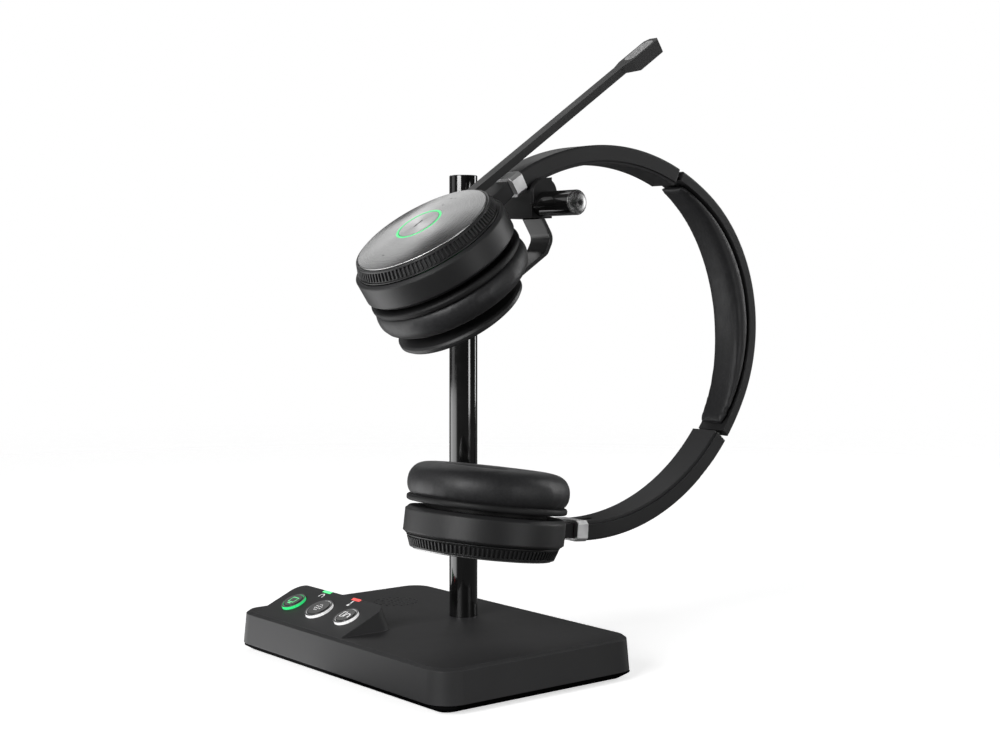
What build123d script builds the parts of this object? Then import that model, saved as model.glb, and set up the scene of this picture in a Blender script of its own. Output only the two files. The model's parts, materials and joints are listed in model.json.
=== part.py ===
from build123d import *
import os
from math import cos, radians, sin

# Cordless office headset docked on its charging stand. Millimetres, +Z up, +Y to the back.
# The origin is the centre of the base's underside; the keys face the front, -Y.

# ---------------------------------------------------------------- driving dimensions
# Base
base_length = 145.2          # flat top, along X
base_depth = 94.7            # flat top, along Y
base_height = 17.36
base_corner_r = 8.0
base_rim_drop = 1.02         # chamfer round the top
base_rim_out = 1.41
base_skirt_out = 1.12        # the sides lean out this much more at the bottom
base_skirt_z = 3.97          # lower edge of the shell
base_wall = 2.2
cover_lip_out = 1.2          # top edge of the bottom cover, past the flat top's outline
cover_in = 4.7               # the cover's underside lies this far inside the flat top's outline
cover_floor = 1.2            # thickness of the cover's floor
cover_wall = 1.8
mat_thickness = 1.0
mat_proud = 0.6
mat_margin = 6.0
board_thickness = 1.6
board_length = 104.0
board_front = -10.0
board_back = 40.0
board_gap = 0.6              # over the ballast
ballast_length = 100.0
ballast_depth = 60.0
ballast_y = 4.0
ballast_h = 3.0
screw_r = 1.25
screw_head_r = 2.6
screw_head_h = 1.0
screw_reach = 8.0            # above the cover's floor
boss_r = 3.4
boss_inset = 9.0

# Key wedge on the base
wedge_left = -62.0
wedge_right = 3.4
wedge_front_y = -47.1
wedge_front_z = 17.26
wedge_angle = 23.6
wedge_slope = 25.0           # front to back, along the panel
wedge_corner_r = 6.0
wedge_wall = 2.0
key_x = {"left": -49.0, "middle": -29.0, "right": -8.6}
key_r = {"left": 4.5, "middle": 5.3, "right": 4.5}
key_slope = 12.3
key_ring_wall = 0.7
key_ring_proud = 1.2
key_proud = 1.5
key_edge_r = 0.5
key_gap = 0.2
key_travel = 0.8
key_height = 4.4
switch_r = 2.0
switch_h = 1.4
key_board_depth = 8.0
key_board_thickness = 1.0
key_board_half = 6.5
key_board_end = 8.0
lamp_x = {"status": -39.8, "mute": -17.7}
lamp_length = 6.0
lamp_depth = 1.6
lamp_height = 2.4

# Ringer grille and sockets
grille_x = -44.6
grille_y = 14.3
grille_hole_r = 0.65
grille_rings = 3             # rings of holes round the middle one, with 6 more holes in each
grille_ring_pitch = 3.1
ringer_r = 11.0
ringer_h = 4.0
ringer_gap = 0.3
socket_x = [-32.0, -8.0, 16.0]
socket_width = 9.0
socket_height = 3.3
socket_depth = 7.0
socket_wall = 0.4
socket_z = 8.6
socket_corner_r = 1.2
socket_in_wall = 1.2         # the sockets reach this far into the back wall
tongue_width = 5.4
tongue_thickness = 0.7
tongue_set_back = 1.0

# Pole and cross rod
pole_x = -2.4
pole_y = 19.74
pole_r = 6.0
pole_wall = 1.2
pole_top = 205.3
rod_drop = 14.0              # the cross rod's axis, below the pole's top
pole_cap_h = 1.2
pole_plug_h = 4.0
end_chamfer = 0.3
pole_nut_r = 10.0
pole_nut_h = 4.0
rod_r = 5.05
rod_past_bow = 30.0          # the rod's end, past the bow's middle
rod_cap_h = 0.8
cradle_margin_in = 1.2       # the cradle is wider than the bow by this, towards the pole
cradle_margin_out = 1.5      # and by this, towards the stop tab
cradle_half = 5.4
cradle_drop = 5.6
cradle_rise = 14.0           # above the rod's axis, before the arm's curve trims it
tab_thickness = 2.2
tab_r = 6.2
tab_rise = 4.4
pin_r = 0.8
pin_spread = 5.0
pin_length = 2.4

# Headset plane and the bow: a crown arc with a flatter side arc tangent to each end
cup_side_gap = 4.0           # between the pole and the cups
seat_angle = 104.8           # where on the upper arm's arc the cross rod sits
seat_height = 8.0            # from the rod's axis to the arm's inner face
bow_lean = 13.36             # the crown points this far above +Y
bow_width = 15.2
crown_r = 71.5
side_r = 101.1
side_start = 40.6            # angle where a side arc takes over from the crown arc
band_end = 51.7
band_thickness = 4.5
band_edge_r = 1.0
arm_start = 53.3
arm_end = 106.4
ring_end = 109.8
arm_thickness = 6.7
liner_thickness = 1.2
liner_inset = 0.8
size_travel = 12.0           # degrees about the side arc's centre
strip_depth = 2.7            # middle of the sliding strip, below the outer face
strip_thickness = 1.4
strip_width = 9.6
strip_gap = 0.2
strip_root = 60.0
strip_hold = 2.5             # degrees of strip left in the band at full reach
channel_play = 1.0           # degrees of spare channel past each end of the strip
spring_thickness = 0.6
spring_half_angle = 30.0
pad_gap = 0.4
pad_end = 50.6
pad_end_depth = 3.2
pad_mid_depth = 9.0
pad_width = 14.6
ring_proud = 0.35
ring_chamfer = 1.4
contact_angle = 103.2
contact_length = 7.0
contact_width = 3.4
contact_recess = 0.8
contact_thickness = 0.5

# Ear cups: turned about their axis, measured inward from the rim of the outer disc
cup_lean = 21.2              # the cups' axes lean this far from the bow's own axis
cup_reach = {"upper": (43.3, 7.15), "lower": (44.3, 4.65)}   # rim centre from the clip ring: out, in
disc_r = 28.0
disc_dome = 2.6
disc_skin = 1.2
disc_sink = 0.6              # the skirt joins the disc this far above the rim
skirt_r = 21.6
skirt_wall = 1.8
rib_ring_top_r = 29.0
rib_ring_foot_r = 30.8
rib_ring_bore_r = 22.0
rib_ring_top = 0.5
rib_ring_foot = 5.4
housing_r = 32.3
housing_lip_r = 31.0
housing_top = 5.7
housing_lip = 1.0
housing_foot = 16.8
housing_foot_r = 30.8
housing_foot_rise = 1.4
housing_wall = 1.6
neck_r = 24.5
flange_top = 18.7
flange_foot = 21.3
flange_r = 32.3
flange_edge_r = 1.0
driver_r = 18.0
driver_h = 3.0
driver_gap = (0.2, 0.4)      # round it and behind it
cushion_r = 32.7
cushion_foot = 33.0
cushion_dish_r = 13.0
cushion_dish = 4.0
cushion_dish_slope = 4.0
cushion_gap = 0.2            # under the flange
cushion_back_round = (1.2, 3.0)
cushion_face_round = [(0.0, 4.5), (1.6, 1.6), (5.0, 0.0)]
battery_size = (28.0, 22.0, 5.5)
cup_board_z = (-11.2, -10.0)
button_r = 8.8
button_gap = 0.15
button_light_r = 9.9
button_skirt = 0.8
button_stem_r = 2.0
button_stem_foot = 4.0
button_light_z = 0.4
hinge_out = 26.4             # cup tilt hinge, from the cup's axis
hinge_in = 10.6
knuckle_r = 3.4
knuckle_half = 5.4
trunnion_r = 1.6
trunnion_gap = 0.05
trunnion_half = 8.6
hinge_ear = 3.0
ear_margin = (1.5, 1.0)      # round the knuckle: inward, and above and below
pocket_gap = 0.9
neck_margin = 0.9            # the neck is this much thinner than the clip ring, each side
neck_taper = 0.92            # the neck's half thickness at the knuckle, as a share of its radius

# Boom on the upper cup
boom_top = 0.6
boom_thickness = 3.3
boom_width = 5.6
boom_length = 151.0
boom_neck = 131.0
tip_width = 8.6
tip_thickness = 6.1
tip_flare = 5.0
tip_rake = 2.2
tip_heel = 2.0
tip_corner = 2.0
grille_plate = (17.0, 6.4, 0.5)
grille_back = 0.5            # the grille sits this far back from the middle of the tip
capsule_r = 3.0
capsule_h = 2.2

# Tray that holds the upper ear cushion
tray_gap = 0.5
tray_r = 27.0
tray_flat_r = 17.0
tray_fall = 2.6
tray_edge = 2.8
tray_shift = -3.0
tray_edge_r = 0.8
strap_width = 12.0
strap_off = 5.0              # the strap's middle, past the bow's middle
strap_thickness = 1.6
strap_top = (-1.1, -5.6)     # the strap's points in Y and Z, from the rod's axis
strap_back = (4.06, -13.7)
strap_bend = (1.06, -19.7)
strap_bend_r = [4.5, 3.6]
strap_lap = 12.0             # the strap runs this far into the tray

# Clearances
slip = 0.05                  # shafts in their holes
part_gap = 0.3               # curved faces on bodies that move past each other
over = 1.0                   # cutting shapes run past the faces they cut by this
far = 300.0                  # longer than anything here

# ---------------------------------------------------------------- places that follow from them
bow_x = pole_x + pole_r + cup_side_gap + max(cushion_r, housing_r)
rod_z = pole_top - rod_drop
rod_end = bow_x + rod_past_bow
cradle_x = [bow_x - bow_width / 2 - cradle_margin_in, bow_x + bow_width / 2 + cradle_margin_out]
arm_inner_r = side_r - arm_thickness - liner_thickness
arc_reach = side_r - crown_r


def side_centre(sign):
    """Centre of a side arc in the bow's plane; sign is +1 for the upper side."""
    return (-arc_reach * cos(radians(side_start)), -sign * arc_reach * sin(radians(side_start)))


def side_point(sign, r, angle):
    """A point at radius r and angle on a side arc, in the bow's plane."""
    cx, cy = side_centre(sign)
    return (cx + r * cos(radians(angle)), cy + sign * r * sin(radians(angle)))


lean_c, lean_s = cos(radians(bow_lean)), sin(radians(bow_lean))
seat = side_point(1, arm_inner_r - seat_height, seat_angle)
bow = Plane(
    origin=(
        bow_x,
        pole_y - seat[0] * lean_c + seat[1] * lean_s,
        rod_z - seat[0] * lean_s - seat[1] * lean_c,
    ),
    x_dir=(0, lean_c, lean_s),
    z_dir=(1, 0, 0),
)
nodes = {}


# ---------------------------------------------------------------- helpers
def slab(length, depth, corner, z):
    """A rounded rectangle at height z, centred on the origin."""
    return Pos(0, 0, z) * RectangleRounded(length, depth, corner)


def outline(out, z):
    """The base's outline grown by out, at height z."""
    return slab(base_length + 2 * out, base_depth + 2 * out, base_corner_r + out, z)


def disc(r, z0, z1):
    """A cylinder about the local Z axis between two heights."""
    return Pos(0, 0, z0) * Cylinder(r, z1 - z0, align=(Align.CENTER, Align.CENTER, Align.MIN))


def block(x0, x1, y0, y1, z0, z1):
    """A box between two corners."""
    return Pos((x0 + x1) / 2, (y0 + y1) / 2, (z0 + z1) / 2) * Box(x1 - x0, y1 - y0, z1 - z0)


def turned(points):
    """A solid of revolution about the local Z axis from (radius, height) points."""
    face = make_face(Polyline(*[(r, 0, z) for r, z in points], close=True).edges())
    return revolve(face, Axis.Z)


def ring(r_in, r_out, z0, z1):
    """A plain ring about the local Z axis."""
    return disc(r_out, z0, z1) - disc(r_in, z0 - over, z1 + over)


# ---------------------------------------------------------------- base
skirt_out = base_rim_out + base_skirt_out
rim_z = base_height - base_rim_drop


def base_body(inset, z_low):
    """The base's outside, or a smaller copy of it for the hollow."""
    skirt = loft([outline(skirt_out - inset, z_low), outline(base_rim_out - inset, rim_z)], ruled=True)
    if inset:
        return skirt
    rim = loft([outline(base_rim_out, rim_z), outline(0, base_height)], ruled=True)
    return skirt + rim


panel = Plane(
    origin=(0, wedge_front_y, wedge_front_z),
    x_dir=(1, 0, 0),
    z_dir=(0, -sin(radians(wedge_angle)), cos(radians(wedge_angle))),
)


def wedge(inset):
    """The key wedge: a slab under the sloping panel, cut off inside the base."""
    reach = 14.0
    slope = wedge_slope - inset
    body = panel * block(wedge_left + inset, wedge_right - inset, inset, slope, -reach, -inset)
    corner_r = wedge_corner_r - inset
    upright = body.edges().filter_by(Axis(panel.origin, panel.z_dir)).sort_by(Axis.Y)[-2:]
    body = fillet(upright, corner_r)
    return body & block(-far, far, -far, far, rim_z - base_wall, far)


hollow_top = base_height - base_wall
solid_base = base_body(0, base_skirt_z) + wedge(0)
shell = solid_base
hollow = base_body(base_wall, base_skirt_z - over) & block(-far, far, -far, far, 0, hollow_top)
shell = shell - hollow - wedge(wedge_wall)
for side in key_x:
    hole = Pos(key_x[side], key_slope, 0) * disc(key_r[side] + key_gap + key_ring_wall, -key_height, over)
    shell = shell - panel * hole


def lamp(name):
    """A light bar on the wedge's upper back edge."""
    x = lamp_x[name]
    return panel * block(
        x - lamp_length / 2, x + lamp_length / 2,
        wedge_slope - lamp_depth, wedge_slope, -lamp_height, 0,
    )


for name in lamp_x:
    nodes[name + "_light"] = lamp(name)
    shell = shell - lamp(name)

holes = [Pos(grille_x, grille_y) * Circle(grille_hole_r)]
for number in range(1, grille_rings + 1):
    reach = number * grille_ring_pitch
    for step in range(6 * number):
        turn = radians(60 * step / number)
        spot = Pos(grille_x + reach * cos(turn), grille_y + reach * sin(turn))
        holes.append(spot * Circle(grille_hole_r))
grille_cut = extrude(Pos(0, 0, hollow_top - over) * Sketch(children=holes), base_wall + 2 * over)
pole_hole = Pos(pole_x, pole_y) * disc(pole_r + slip, 0, base_height + over)
back_y = base_depth / 2 + skirt_out
socket_cuts = []
sockets = []
for x in socket_x:
    outer = Box(socket_width, socket_depth, socket_height)
    inner = Pos(0, socket_wall) * Box(
        socket_width - 2 * socket_wall, socket_depth, socket_height - 2 * socket_wall
    )
    place = Pos(x, back_y - base_wall + socket_in_wall - socket_depth / 2, socket_z)
    tongue = Pos(0, -tongue_set_back / 2) * Box(tongue_width, socket_depth - tongue_set_back, tongue_thickness)
    sockets.append(place * (fillet(outer.edges().filter_by(Axis.Y), socket_corner_r) - inner + tongue))
    socket_cuts.append(Pos(x, back_y, socket_z) * Box(socket_width, 2 * socket_depth, socket_height))
boss_x = base_length / 2 - boss_inset
boss_y = base_depth / 2 - boss_inset
boss_places = [Pos(sx * boss_x, sy * boss_y) for sx in (-1, 1) for sy in (-1, 1)]
cover_underside = mat_proud
inner_floor = cover_underside + cover_floor
for place in boss_places:
    shell = shell + (place * disc(boss_r, inner_floor + ballast_h, far) & solid_base)
    shell = shell - place * disc(screw_r + slip, inner_floor, inner_floor + screw_reach + over)
shell = shell - grille_cut - pole_hole
for cut in socket_cuts:
    shell = shell - cut
nodes["base_shell"] = shell

cover = loft([outline(-cover_in, cover_underside), outline(cover_lip_out, base_skirt_z)], ruled=True)
cover_hollow = loft(
    [outline(-cover_in - cover_wall, inner_floor), outline(cover_lip_out - cover_wall, base_skirt_z)],
    ruled=True,
)
cover = cover - cover_hollow
mat_face = slab(
    base_length - 2 * cover_in - 2 * mat_margin,
    base_depth - 2 * cover_in - 2 * mat_margin,
    base_corner_r - cover_in, 0,
)
mat = extrude(mat_face, mat_thickness)
cover = cover - mat
screws = []
for place in boss_places:
    head = place * disc(screw_head_r, cover_underside, cover_underside + screw_head_h)
    shank = place * disc(screw_r, cover_underside + screw_head_h / 2, inner_floor + screw_reach)
    cover = cover - head - place * disc(screw_r + slip, 0, inner_floor + over)
    screws.append(head + shank)
nodes["base_cover"] = cover
nodes["foot_mat"] = mat - Compound(children=screws)
nodes["cover_screws"] = Compound(children=screws)

pole_foot = inner_floor + ballast_h
nodes["ballast_plate"] = block(
    -ballast_length / 2, ballast_length / 2, ballast_y - ballast_depth / 2, ballast_y + ballast_depth / 2,
    inner_floor, pole_foot,
)
board_z = pole_foot + board_gap
board = block(
    -board_length / 2, board_length / 2, board_front, board_back, board_z, board_z + board_thickness
)
board = board - Pos(pole_x, pole_y) * disc(pole_nut_r + over, 0, base_height)
nodes["base_board"] = board
nodes["usb_sockets"] = Compound(children=sockets)
ringer_top = hollow_top - ringer_gap
nodes["ringer"] = Pos(grille_x, grille_y) * disc(ringer_r, ringer_top - ringer_h, ringer_top)
nut = Pos(pole_x, pole_y) * extrude(RegularPolygon(pole_nut_r, 6), pole_nut_h)
nodes["pole_nut"] = Pos(0, 0, hollow_top - pole_nut_h) * nut - Pos(pole_x, pole_y) * disc(pole_r, 0, far)

# ---------------------------------------------------------------- keys
for side in key_x:
    place = Pos(key_x[side], key_slope, 0)
    r = key_r[side]
    light_ring = ring(r + key_gap, r + key_gap + key_ring_wall, -wedge_wall, key_ring_proud)
    cap = disc(r, key_proud - key_height, key_proud)
    cap = fillet(cap.edges().sort_by(Axis.Z)[-1], key_edge_r)
    nodes[side + "_key_ring"] = panel * (place * light_ring)
    nodes[side + "_key"] = panel * (place * cap)
board_face = key_board_thickness - key_board_depth
key_board = block(
    wedge_left + key_board_end, wedge_right - key_board_end,
    key_slope - key_board_half, key_slope + key_board_half,
    -key_board_depth, board_face,
)
for side in key_x:
    key_board = key_board + Pos(key_x[side], key_slope, 0) * disc(switch_r, board_face, board_face + switch_h)
nodes["key_board"] = panel * key_board

# ---------------------------------------------------------------- pole, rod, cradle
pole_place = Pos(pole_x, pole_y)
pole = pole_place * ring(pole_r - pole_wall, pole_r, pole_foot, pole_top - pole_cap_h)
rod_axis = Plane(origin=(pole_x, pole_y, rod_z), x_dir=(0, 1, 0), z_dir=(1, 0, 0))
rod = rod_axis * disc(rod_r, 0, rod_end - pole_x)
rod = rod - pole_place * disc(pole_r, 0, pole_top)
rod_bore = rod_axis * disc(rod_r, 0, rod_end - pole_x)
pole_mouth = pole_top - pole_cap_h
cap_plug = pole_place * disc(pole_r - pole_wall, pole_mouth - pole_plug_h, pole_mouth)
cap_lid = pole_place * disc(pole_r, pole_mouth, pole_top)
nodes["pole"] = pole
nodes["pole_cap"] = chamfer(cap_lid.edges().sort_by(Axis.Z)[-1], end_chamfer) + cap_plug
nodes["cross_rod"] = rod
rod_lid = Pos(0, 0, rod_end - pole_x) * disc(rod_r, 0, rod_cap_h)
nodes["rod_end_cap"] = rod_axis * chamfer(rod_lid.edges().sort_by(Axis.Z)[-1], end_chamfer)


def sector(sign, r_in, r_out, a0, a1, width):
    """A curved bar on a side arc, centred across the bow."""
    cx, cy = side_centre(sign)
    low, high = sorted((sign * a0, sign * a1))
    inner = CenterArc((cx, cy), r_in, low, high - low)
    outer = CenterArc((cx, cy), r_out, low, high - low)
    lines = [Line(inner @ 0, outer @ 0), Line(inner @ 1, outer @ 1)]
    face = make_face([*inner.edges(), *outer.edges(), *[e for line in lines for e in line.edges()]])
    return bow * (Pos(0, 0, -width / 2) * extrude(face, width, dir=(0, 0, 1)))


def bow_bar(depth_out, depth_in, end_angle, width):
    """A bar that follows the crown arc and both side arcs, between two depths below the outer face."""
    edges = []
    ends = []
    for depth in (depth_out, depth_in):
        crown = CenterArc((0, 0), crown_r - depth, -side_start, 2 * side_start)
        edges += crown.edges()
        tips = []
        for sign in (1, -1):
            cx, cy = side_centre(sign)
            low, high = sorted((sign * side_start, sign * end_angle))
            side = CenterArc((cx, cy), side_r - depth, low, high - low)
            edges += side.edges()
            tips.append(side @ (1 if sign > 0 else 0))
        ends.append(tips)
    for k in (0, 1):
        edges += Line(ends[0][k], ends[1][k]).edges()
    return bow * (Pos(0, 0, -width / 2) * extrude(make_face(edges), width, dir=(0, 0, 1)))


cradle_r = arm_inner_r - part_gap
saddle_disc = bow * (Pos(*side_centre(1), -bow_width) * disc(cradle_r, 0, 2 * bow_width))
saddle = block(
    cradle_x[0], cradle_x[1], pole_y - cradle_half, pole_y + cradle_half,
    rod_z - cradle_drop, rod_z + cradle_rise,
)
saddle = (saddle & saddle_disc) - rod_bore
tab_foot = block(
    cradle_x[1], cradle_x[1] + tab_thickness, pole_y - tab_r, pole_y + tab_r, rod_z, rod_z + tab_rise
)
tab_head = Plane(origin=(cradle_x[1], pole_y, rod_z + tab_rise), x_dir=(0, 1, 0), z_dir=(1, 0, 0)) * disc(
    tab_r, 0, tab_thickness
)
saddle = saddle + (tab_foot + tab_head - rod_bore)

pins = []
for sign in (-1, 1):
    foot = side_point(1, cradle_r - pin_length, contact_angle)
    radial = Plane(
        origin=bow.from_local_coords(Vector(foot[0], foot[1], sign * pin_spread / 2)),
        z_dir=bow.from_local_coords(Vector(*side_point(1, 1, contact_angle)))
        - bow.from_local_coords(Vector(*side_point(1, 0, contact_angle))),
    )
    pins.append(radial * disc(pin_r, 0, pin_length))
saddle = saddle - Compound(children=pins)
nodes["cradle_block"] = saddle
nodes["charge_pins"] = Compound(children=pins)

# ---------------------------------------------------------------- headband
band = bow_bar(0, band_thickness, band_end, bow_width)
outer_edges = band.edges().filter_by(GeomType.CIRCLE).filter_by(lambda e: e.radius in (crown_r, side_r))
band = fillet(outer_edges, band_edge_r)
strip_r = side_r - strip_depth
strip_tip = band_end - size_travel - strip_hold
for sign in (1, -1):
    reach = strip_thickness / 2 + strip_gap
    channel = sector(
        sign, strip_r - reach, strip_r + reach, strip_tip - channel_play, band_end + channel_play,
        strip_width + 2 * strip_gap,
    )
    band = band - channel


def crown_bar(depth, thickness, half_angle, width):
    """A bar on the crown arc alone."""
    r_out = crown_r - depth
    face = make_face([
        *CenterArc((0, 0), r_out, -half_angle, 2 * half_angle).edges(),
        *CenterArc((0, 0), r_out - thickness, -half_angle, 2 * half_angle).edges(),
        *[
            edge
            for sign in (-1, 1)
            for edge in Line(
                (r_out * cos(radians(half_angle)), sign * r_out * sin(radians(half_angle))),
                (
                    (r_out - thickness) * cos(radians(half_angle)),
                    sign * (r_out - thickness) * sin(radians(half_angle)),
                ),
            ).edges()
        ],
    ])
    return bow * (Pos(0, 0, -width / 2) * extrude(face, width, dir=(0, 0, 1)))


band_spring = crown_bar(strip_depth - spring_thickness / 2, spring_thickness, spring_half_angle, strip_width)
nodes["band_shell"] = band - band_spring
nodes["band_spring"] = band_spring

pad_out = band_thickness + pad_gap
pad_edges = []
tips = []
crown = CenterArc((0, 0), crown_r - pad_out, -side_start, 2 * side_start)
pad_edges += crown.edges()
for sign in (1, -1):
    low, high = sorted((sign * side_start, sign * pad_end))
    side = CenterArc(side_centre(sign), side_r - pad_out, low, high - low)
    pad_edges += side.edges()
    outer_tip = side @ (1 if sign > 0 else 0)
    inner_tip = side_point(sign, side_r - pad_out - pad_end_depth, pad_end)
    pad_edges += Line(outer_tip, inner_tip).edges()
    tips.append(inner_tip)
pad_mid = (crown_r - pad_out - pad_mid_depth, 0)
pad_edges += ThreePointArc(tips[0], pad_mid, tips[1]).edges()
pad = bow * (Pos(0, 0, -pad_width / 2) * extrude(make_face(pad_edges), pad_width, dir=(0, 0, 1)))
nodes["crown_pad"] = pad

# ---------------------------------------------------------------- arms
for side, sign in (("upper", 1), ("lower", -1)):
    arm = sector(sign, side_r - arm_thickness, side_r, arm_start, arm_end, bow_width)
    long_edges = arm.edges().filter_by(GeomType.CIRCLE).filter_by(lambda e: e.radius == side_r)
    arm = fillet(long_edges, band_edge_r)
    strip = sector(
        sign, strip_r - strip_thickness / 2, strip_r + strip_thickness / 2, strip_tip, strip_root, strip_width
    )
    arm = arm - strip
    liner = sector(
        sign, arm_inner_r, side_r - arm_thickness, arm_start, arm_end, bow_width - 2 * liner_inset
    )
    face = side_point(sign, arm_inner_r, contact_angle)
    inward = Plane(
        origin=bow.from_local_coords(Vector(*face)),
        x_dir=(1, 0, 0),
        z_dir=bow.from_local_coords(Vector(*side_point(sign, 1, contact_angle)))
        - bow.from_local_coords(Vector(*side_point(sign, 0, contact_angle))),
    )
    oval = Rot(0, 0, 90) * SlotOverall(contact_length, contact_width)
    recess = inward * extrude(Pos(0, 0, -over) * oval, contact_recess + contact_thickness + over)
    contact = inward * extrude(Pos(0, 0, contact_recess) * oval, contact_thickness)
    arm = arm - recess
    liner = liner - recess
    clip = sector(
        sign, arm_inner_r - ring_proud, side_r + ring_proud, arm_end, ring_end, bow_width + 2 * ring_proud
    )
    clip = chamfer(clip.edges().filter_by(GeomType.CIRCLE), ring_chamfer)
    nodes[side + "_arm_shell"] = arm
    nodes[side + "_arm_liner"] = liner
    nodes[side + "_slide_strip"] = strip
    nodes[side + "_clip_ring"] = clip
    nodes[side + "_charge_contact"] = contact

# ---------------------------------------------------------------- ear cups
cups = {}
for side, sign in (("upper", 1), ("lower", -1)):
    lean = radians(90 + cup_lean)
    out = (cos(lean), sign * sin(lean))
    along = (sin(lean), -sign * cos(lean))
    ring_tip = side_point(sign, (arm_inner_r + side_r) / 2, ring_end)
    out_by, in_by = cup_reach[side]
    centre = bow.from_local_coords(Vector(ring_tip[0] - out_by, ring_tip[1] - sign * in_by))
    zero = bow.from_local_coords(Vector(0, 0, 0))
    cups[side] = Plane(
        origin=centre,
        x_dir=bow.from_local_coords(Vector(*along)) - zero,
        z_dir=bow.from_local_coords(Vector(*out)) - zero,
    )

cavity_r = housing_r - housing_wall
floor_top = housing_foot - housing_wall
skirt_in = skirt_r - skirt_wall


dome_r = (disc_r ** 2 + disc_dome ** 2) / (2 * disc_dome)
dome = Pos(0, 0, disc_dome - dome_r) * Sphere(dome_r)


def cup_housing():
    """The cup's outer case with its floor, the hinge ears and the pocket for the hinge knuckle."""
    body = turned([
        (0, -housing_foot), (housing_foot_r, -housing_foot), (housing_r, -housing_foot + housing_foot_rise),
        (housing_r, -housing_top - housing_lip), (housing_lip_r, -housing_top), (0, -housing_top),
    ])
    room = disc(cavity_r, -floor_top, 0)
    pocket_half = knuckle_half + pocket_gap / 2
    ears = block(
        hinge_out - knuckle_r - ear_margin[0], housing_r, -pocket_half - hinge_ear, pocket_half + hinge_ear,
        -hinge_in - knuckle_r - ear_margin[1], -housing_top - ear_margin[1],
    )
    ears = ears & disc(cavity_r + housing_wall / 2, -housing_foot + housing_wall / 2, 0)
    ears = ears - disc(skirt_r + part_gap, -housing_foot - over, 0)
    pocket = block(
        0, housing_r + over, -pocket_half, pocket_half,
        -hinge_in - knuckle_r - pocket_gap, -hinge_in + knuckle_r + pocket_gap,
    )
    pocket = pocket - disc(skirt_r + part_gap, -housing_foot - over, 0)
    bore = Pos(hinge_out, 0, -hinge_in) * Rot(90, 0, 0) * Cylinder(
        trunnion_r + trunnion_gap, 2 * (trunnion_half + trunnion_gap)
    )
    return body - room + ears - pocket - bore


def cup_disc(hole_r):
    """The domed outer disc, with a skirt that stands on the housing's floor."""
    cap = dome & disc(disc_r, part_gap - rib_ring_top, disc_dome + over)
    cap = cap - Pos(0, 0, -disc_skin) * dome
    cap = cap + ring(skirt_in, skirt_r, -floor_top, disc_sink)
    if hole_r:
        cap = cap - disc(hole_r, -rib_ring_top, disc_dome + over)
    return cap


def rib_ring():
    """The tapered ring between the disc and the housing."""
    return turned([
        (rib_ring_bore_r, -rib_ring_foot), (rib_ring_foot_r, -rib_ring_foot),
        (rib_ring_top_r, -rib_ring_top), (rib_ring_bore_r, -rib_ring_top),
    ])


def baffle():
    """The neck and the flange that carries the ear cushion, with a seat for the driver."""
    body = disc(neck_r, -flange_top, -housing_foot)
    flange = disc(flange_r, -flange_foot, -flange_top)
    flange = fillet(flange.edges(), flange_edge_r)
    return body + flange - disc(driver_r, -flange_foot - over, -flange_foot + driver_h + driver_gap[1])


def cushion():
    """The ear cushion as a closed form with a shallow dish."""
    back = -flange_foot - cushion_gap
    dish = -cushion_foot + cushion_dish
    return turned([
        (0, back), (cushion_r - cushion_back_round[0], back), (cushion_r, back - cushion_back_round[1]),
        *[(cushion_r - inward, -cushion_foot + rise) for inward, rise in cushion_face_round],
        (cushion_dish_r, -cushion_foot), (cushion_dish_r - cushion_dish_slope, dish), (0, dish),
    ])


for side, sign in (("upper", 1), ("lower", -1)):
    cup = cups[side]
    nodes[side + "_cup_housing"] = cup * cup_housing()
    nodes[side + "_baffle"] = cup * baffle()
    nodes[side + "_driver"] = cup * disc(driver_r - driver_gap[0], -flange_foot, -flange_foot + driver_h)
    nodes[side + "_ear_cushion"] = cup * cushion()
    hole_r = button_light_r if side == "upper" else 0
    nodes[side + "_disc"] = cup * cup_disc(hole_r)
    # Pivot: a neck from the clip ring that ends in a knuckle with two trunnions
    hinge = cup * Plane(origin=(hinge_out, 0, -hinge_in), x_dir=(1, 0, 0), z_dir=(0, 1, 0))
    knuckle = hinge * Cylinder(knuckle_r, 2 * knuckle_half) + hinge * Cylinder(trunnion_r, 2 * trunnion_half)
    r_mid = (arm_inner_r + side_r) / 2
    root = side_point(sign, r_mid, ring_end)
    tip_local = bow.to_local_coords(cup.from_local_coords(Vector(hinge_out, 0, -hinge_in)))
    root_half = (side_r - arm_inner_r) / 2 - neck_margin
    root_edge = [side_point(sign, r_mid + s * root_half, ring_end) for s in (1, -1)]
    run = Vector(tip_local.X - root[0], tip_local.Y - root[1]).normalized()
    across = Vector(-run.Y, run.X) * sign
    tip_half = knuckle_r * neck_taper
    tip_edge = [
        (tip_local.X - s * across.X * tip_half, tip_local.Y - s * across.Y * tip_half)
        for s in (1, -1)
    ]
    face = make_face(Polyline(*root_edge, tip_edge[1], tip_edge[0], close=True).edges())
    neck_width = 2 * knuckle_half
    neck = bow * (Pos(0, 0, -neck_width / 2) * extrude(face, neck_width, dir=(0, 0, 1)))
    nodes[side + "_cup_pivot"] = neck + knuckle

upper = cups["upper"]
nodes["lower_rib_ring"] = cups["lower"] * rib_ring()
nodes["lower_battery"] = cups["lower"] * block(
    -battery_size[0] / 2, battery_size[0] / 2, -battery_size[1] / 2, battery_size[1] / 2,
    -floor_top, -floor_top + battery_size[2],
)
nodes["upper_board"] = upper * disc(skirt_in - part_gap, *cup_board_z)

light = ring(button_r + button_gap, button_light_r, button_light_z, disc_dome + over)
nodes["button_light"] = upper * (dome & light)
button = dome & disc(button_r, -button_skirt, disc_dome + over)
button = button + disc(button_stem_r, -button_stem_foot, -button_skirt)
nodes["call_button"] = upper * button

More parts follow.
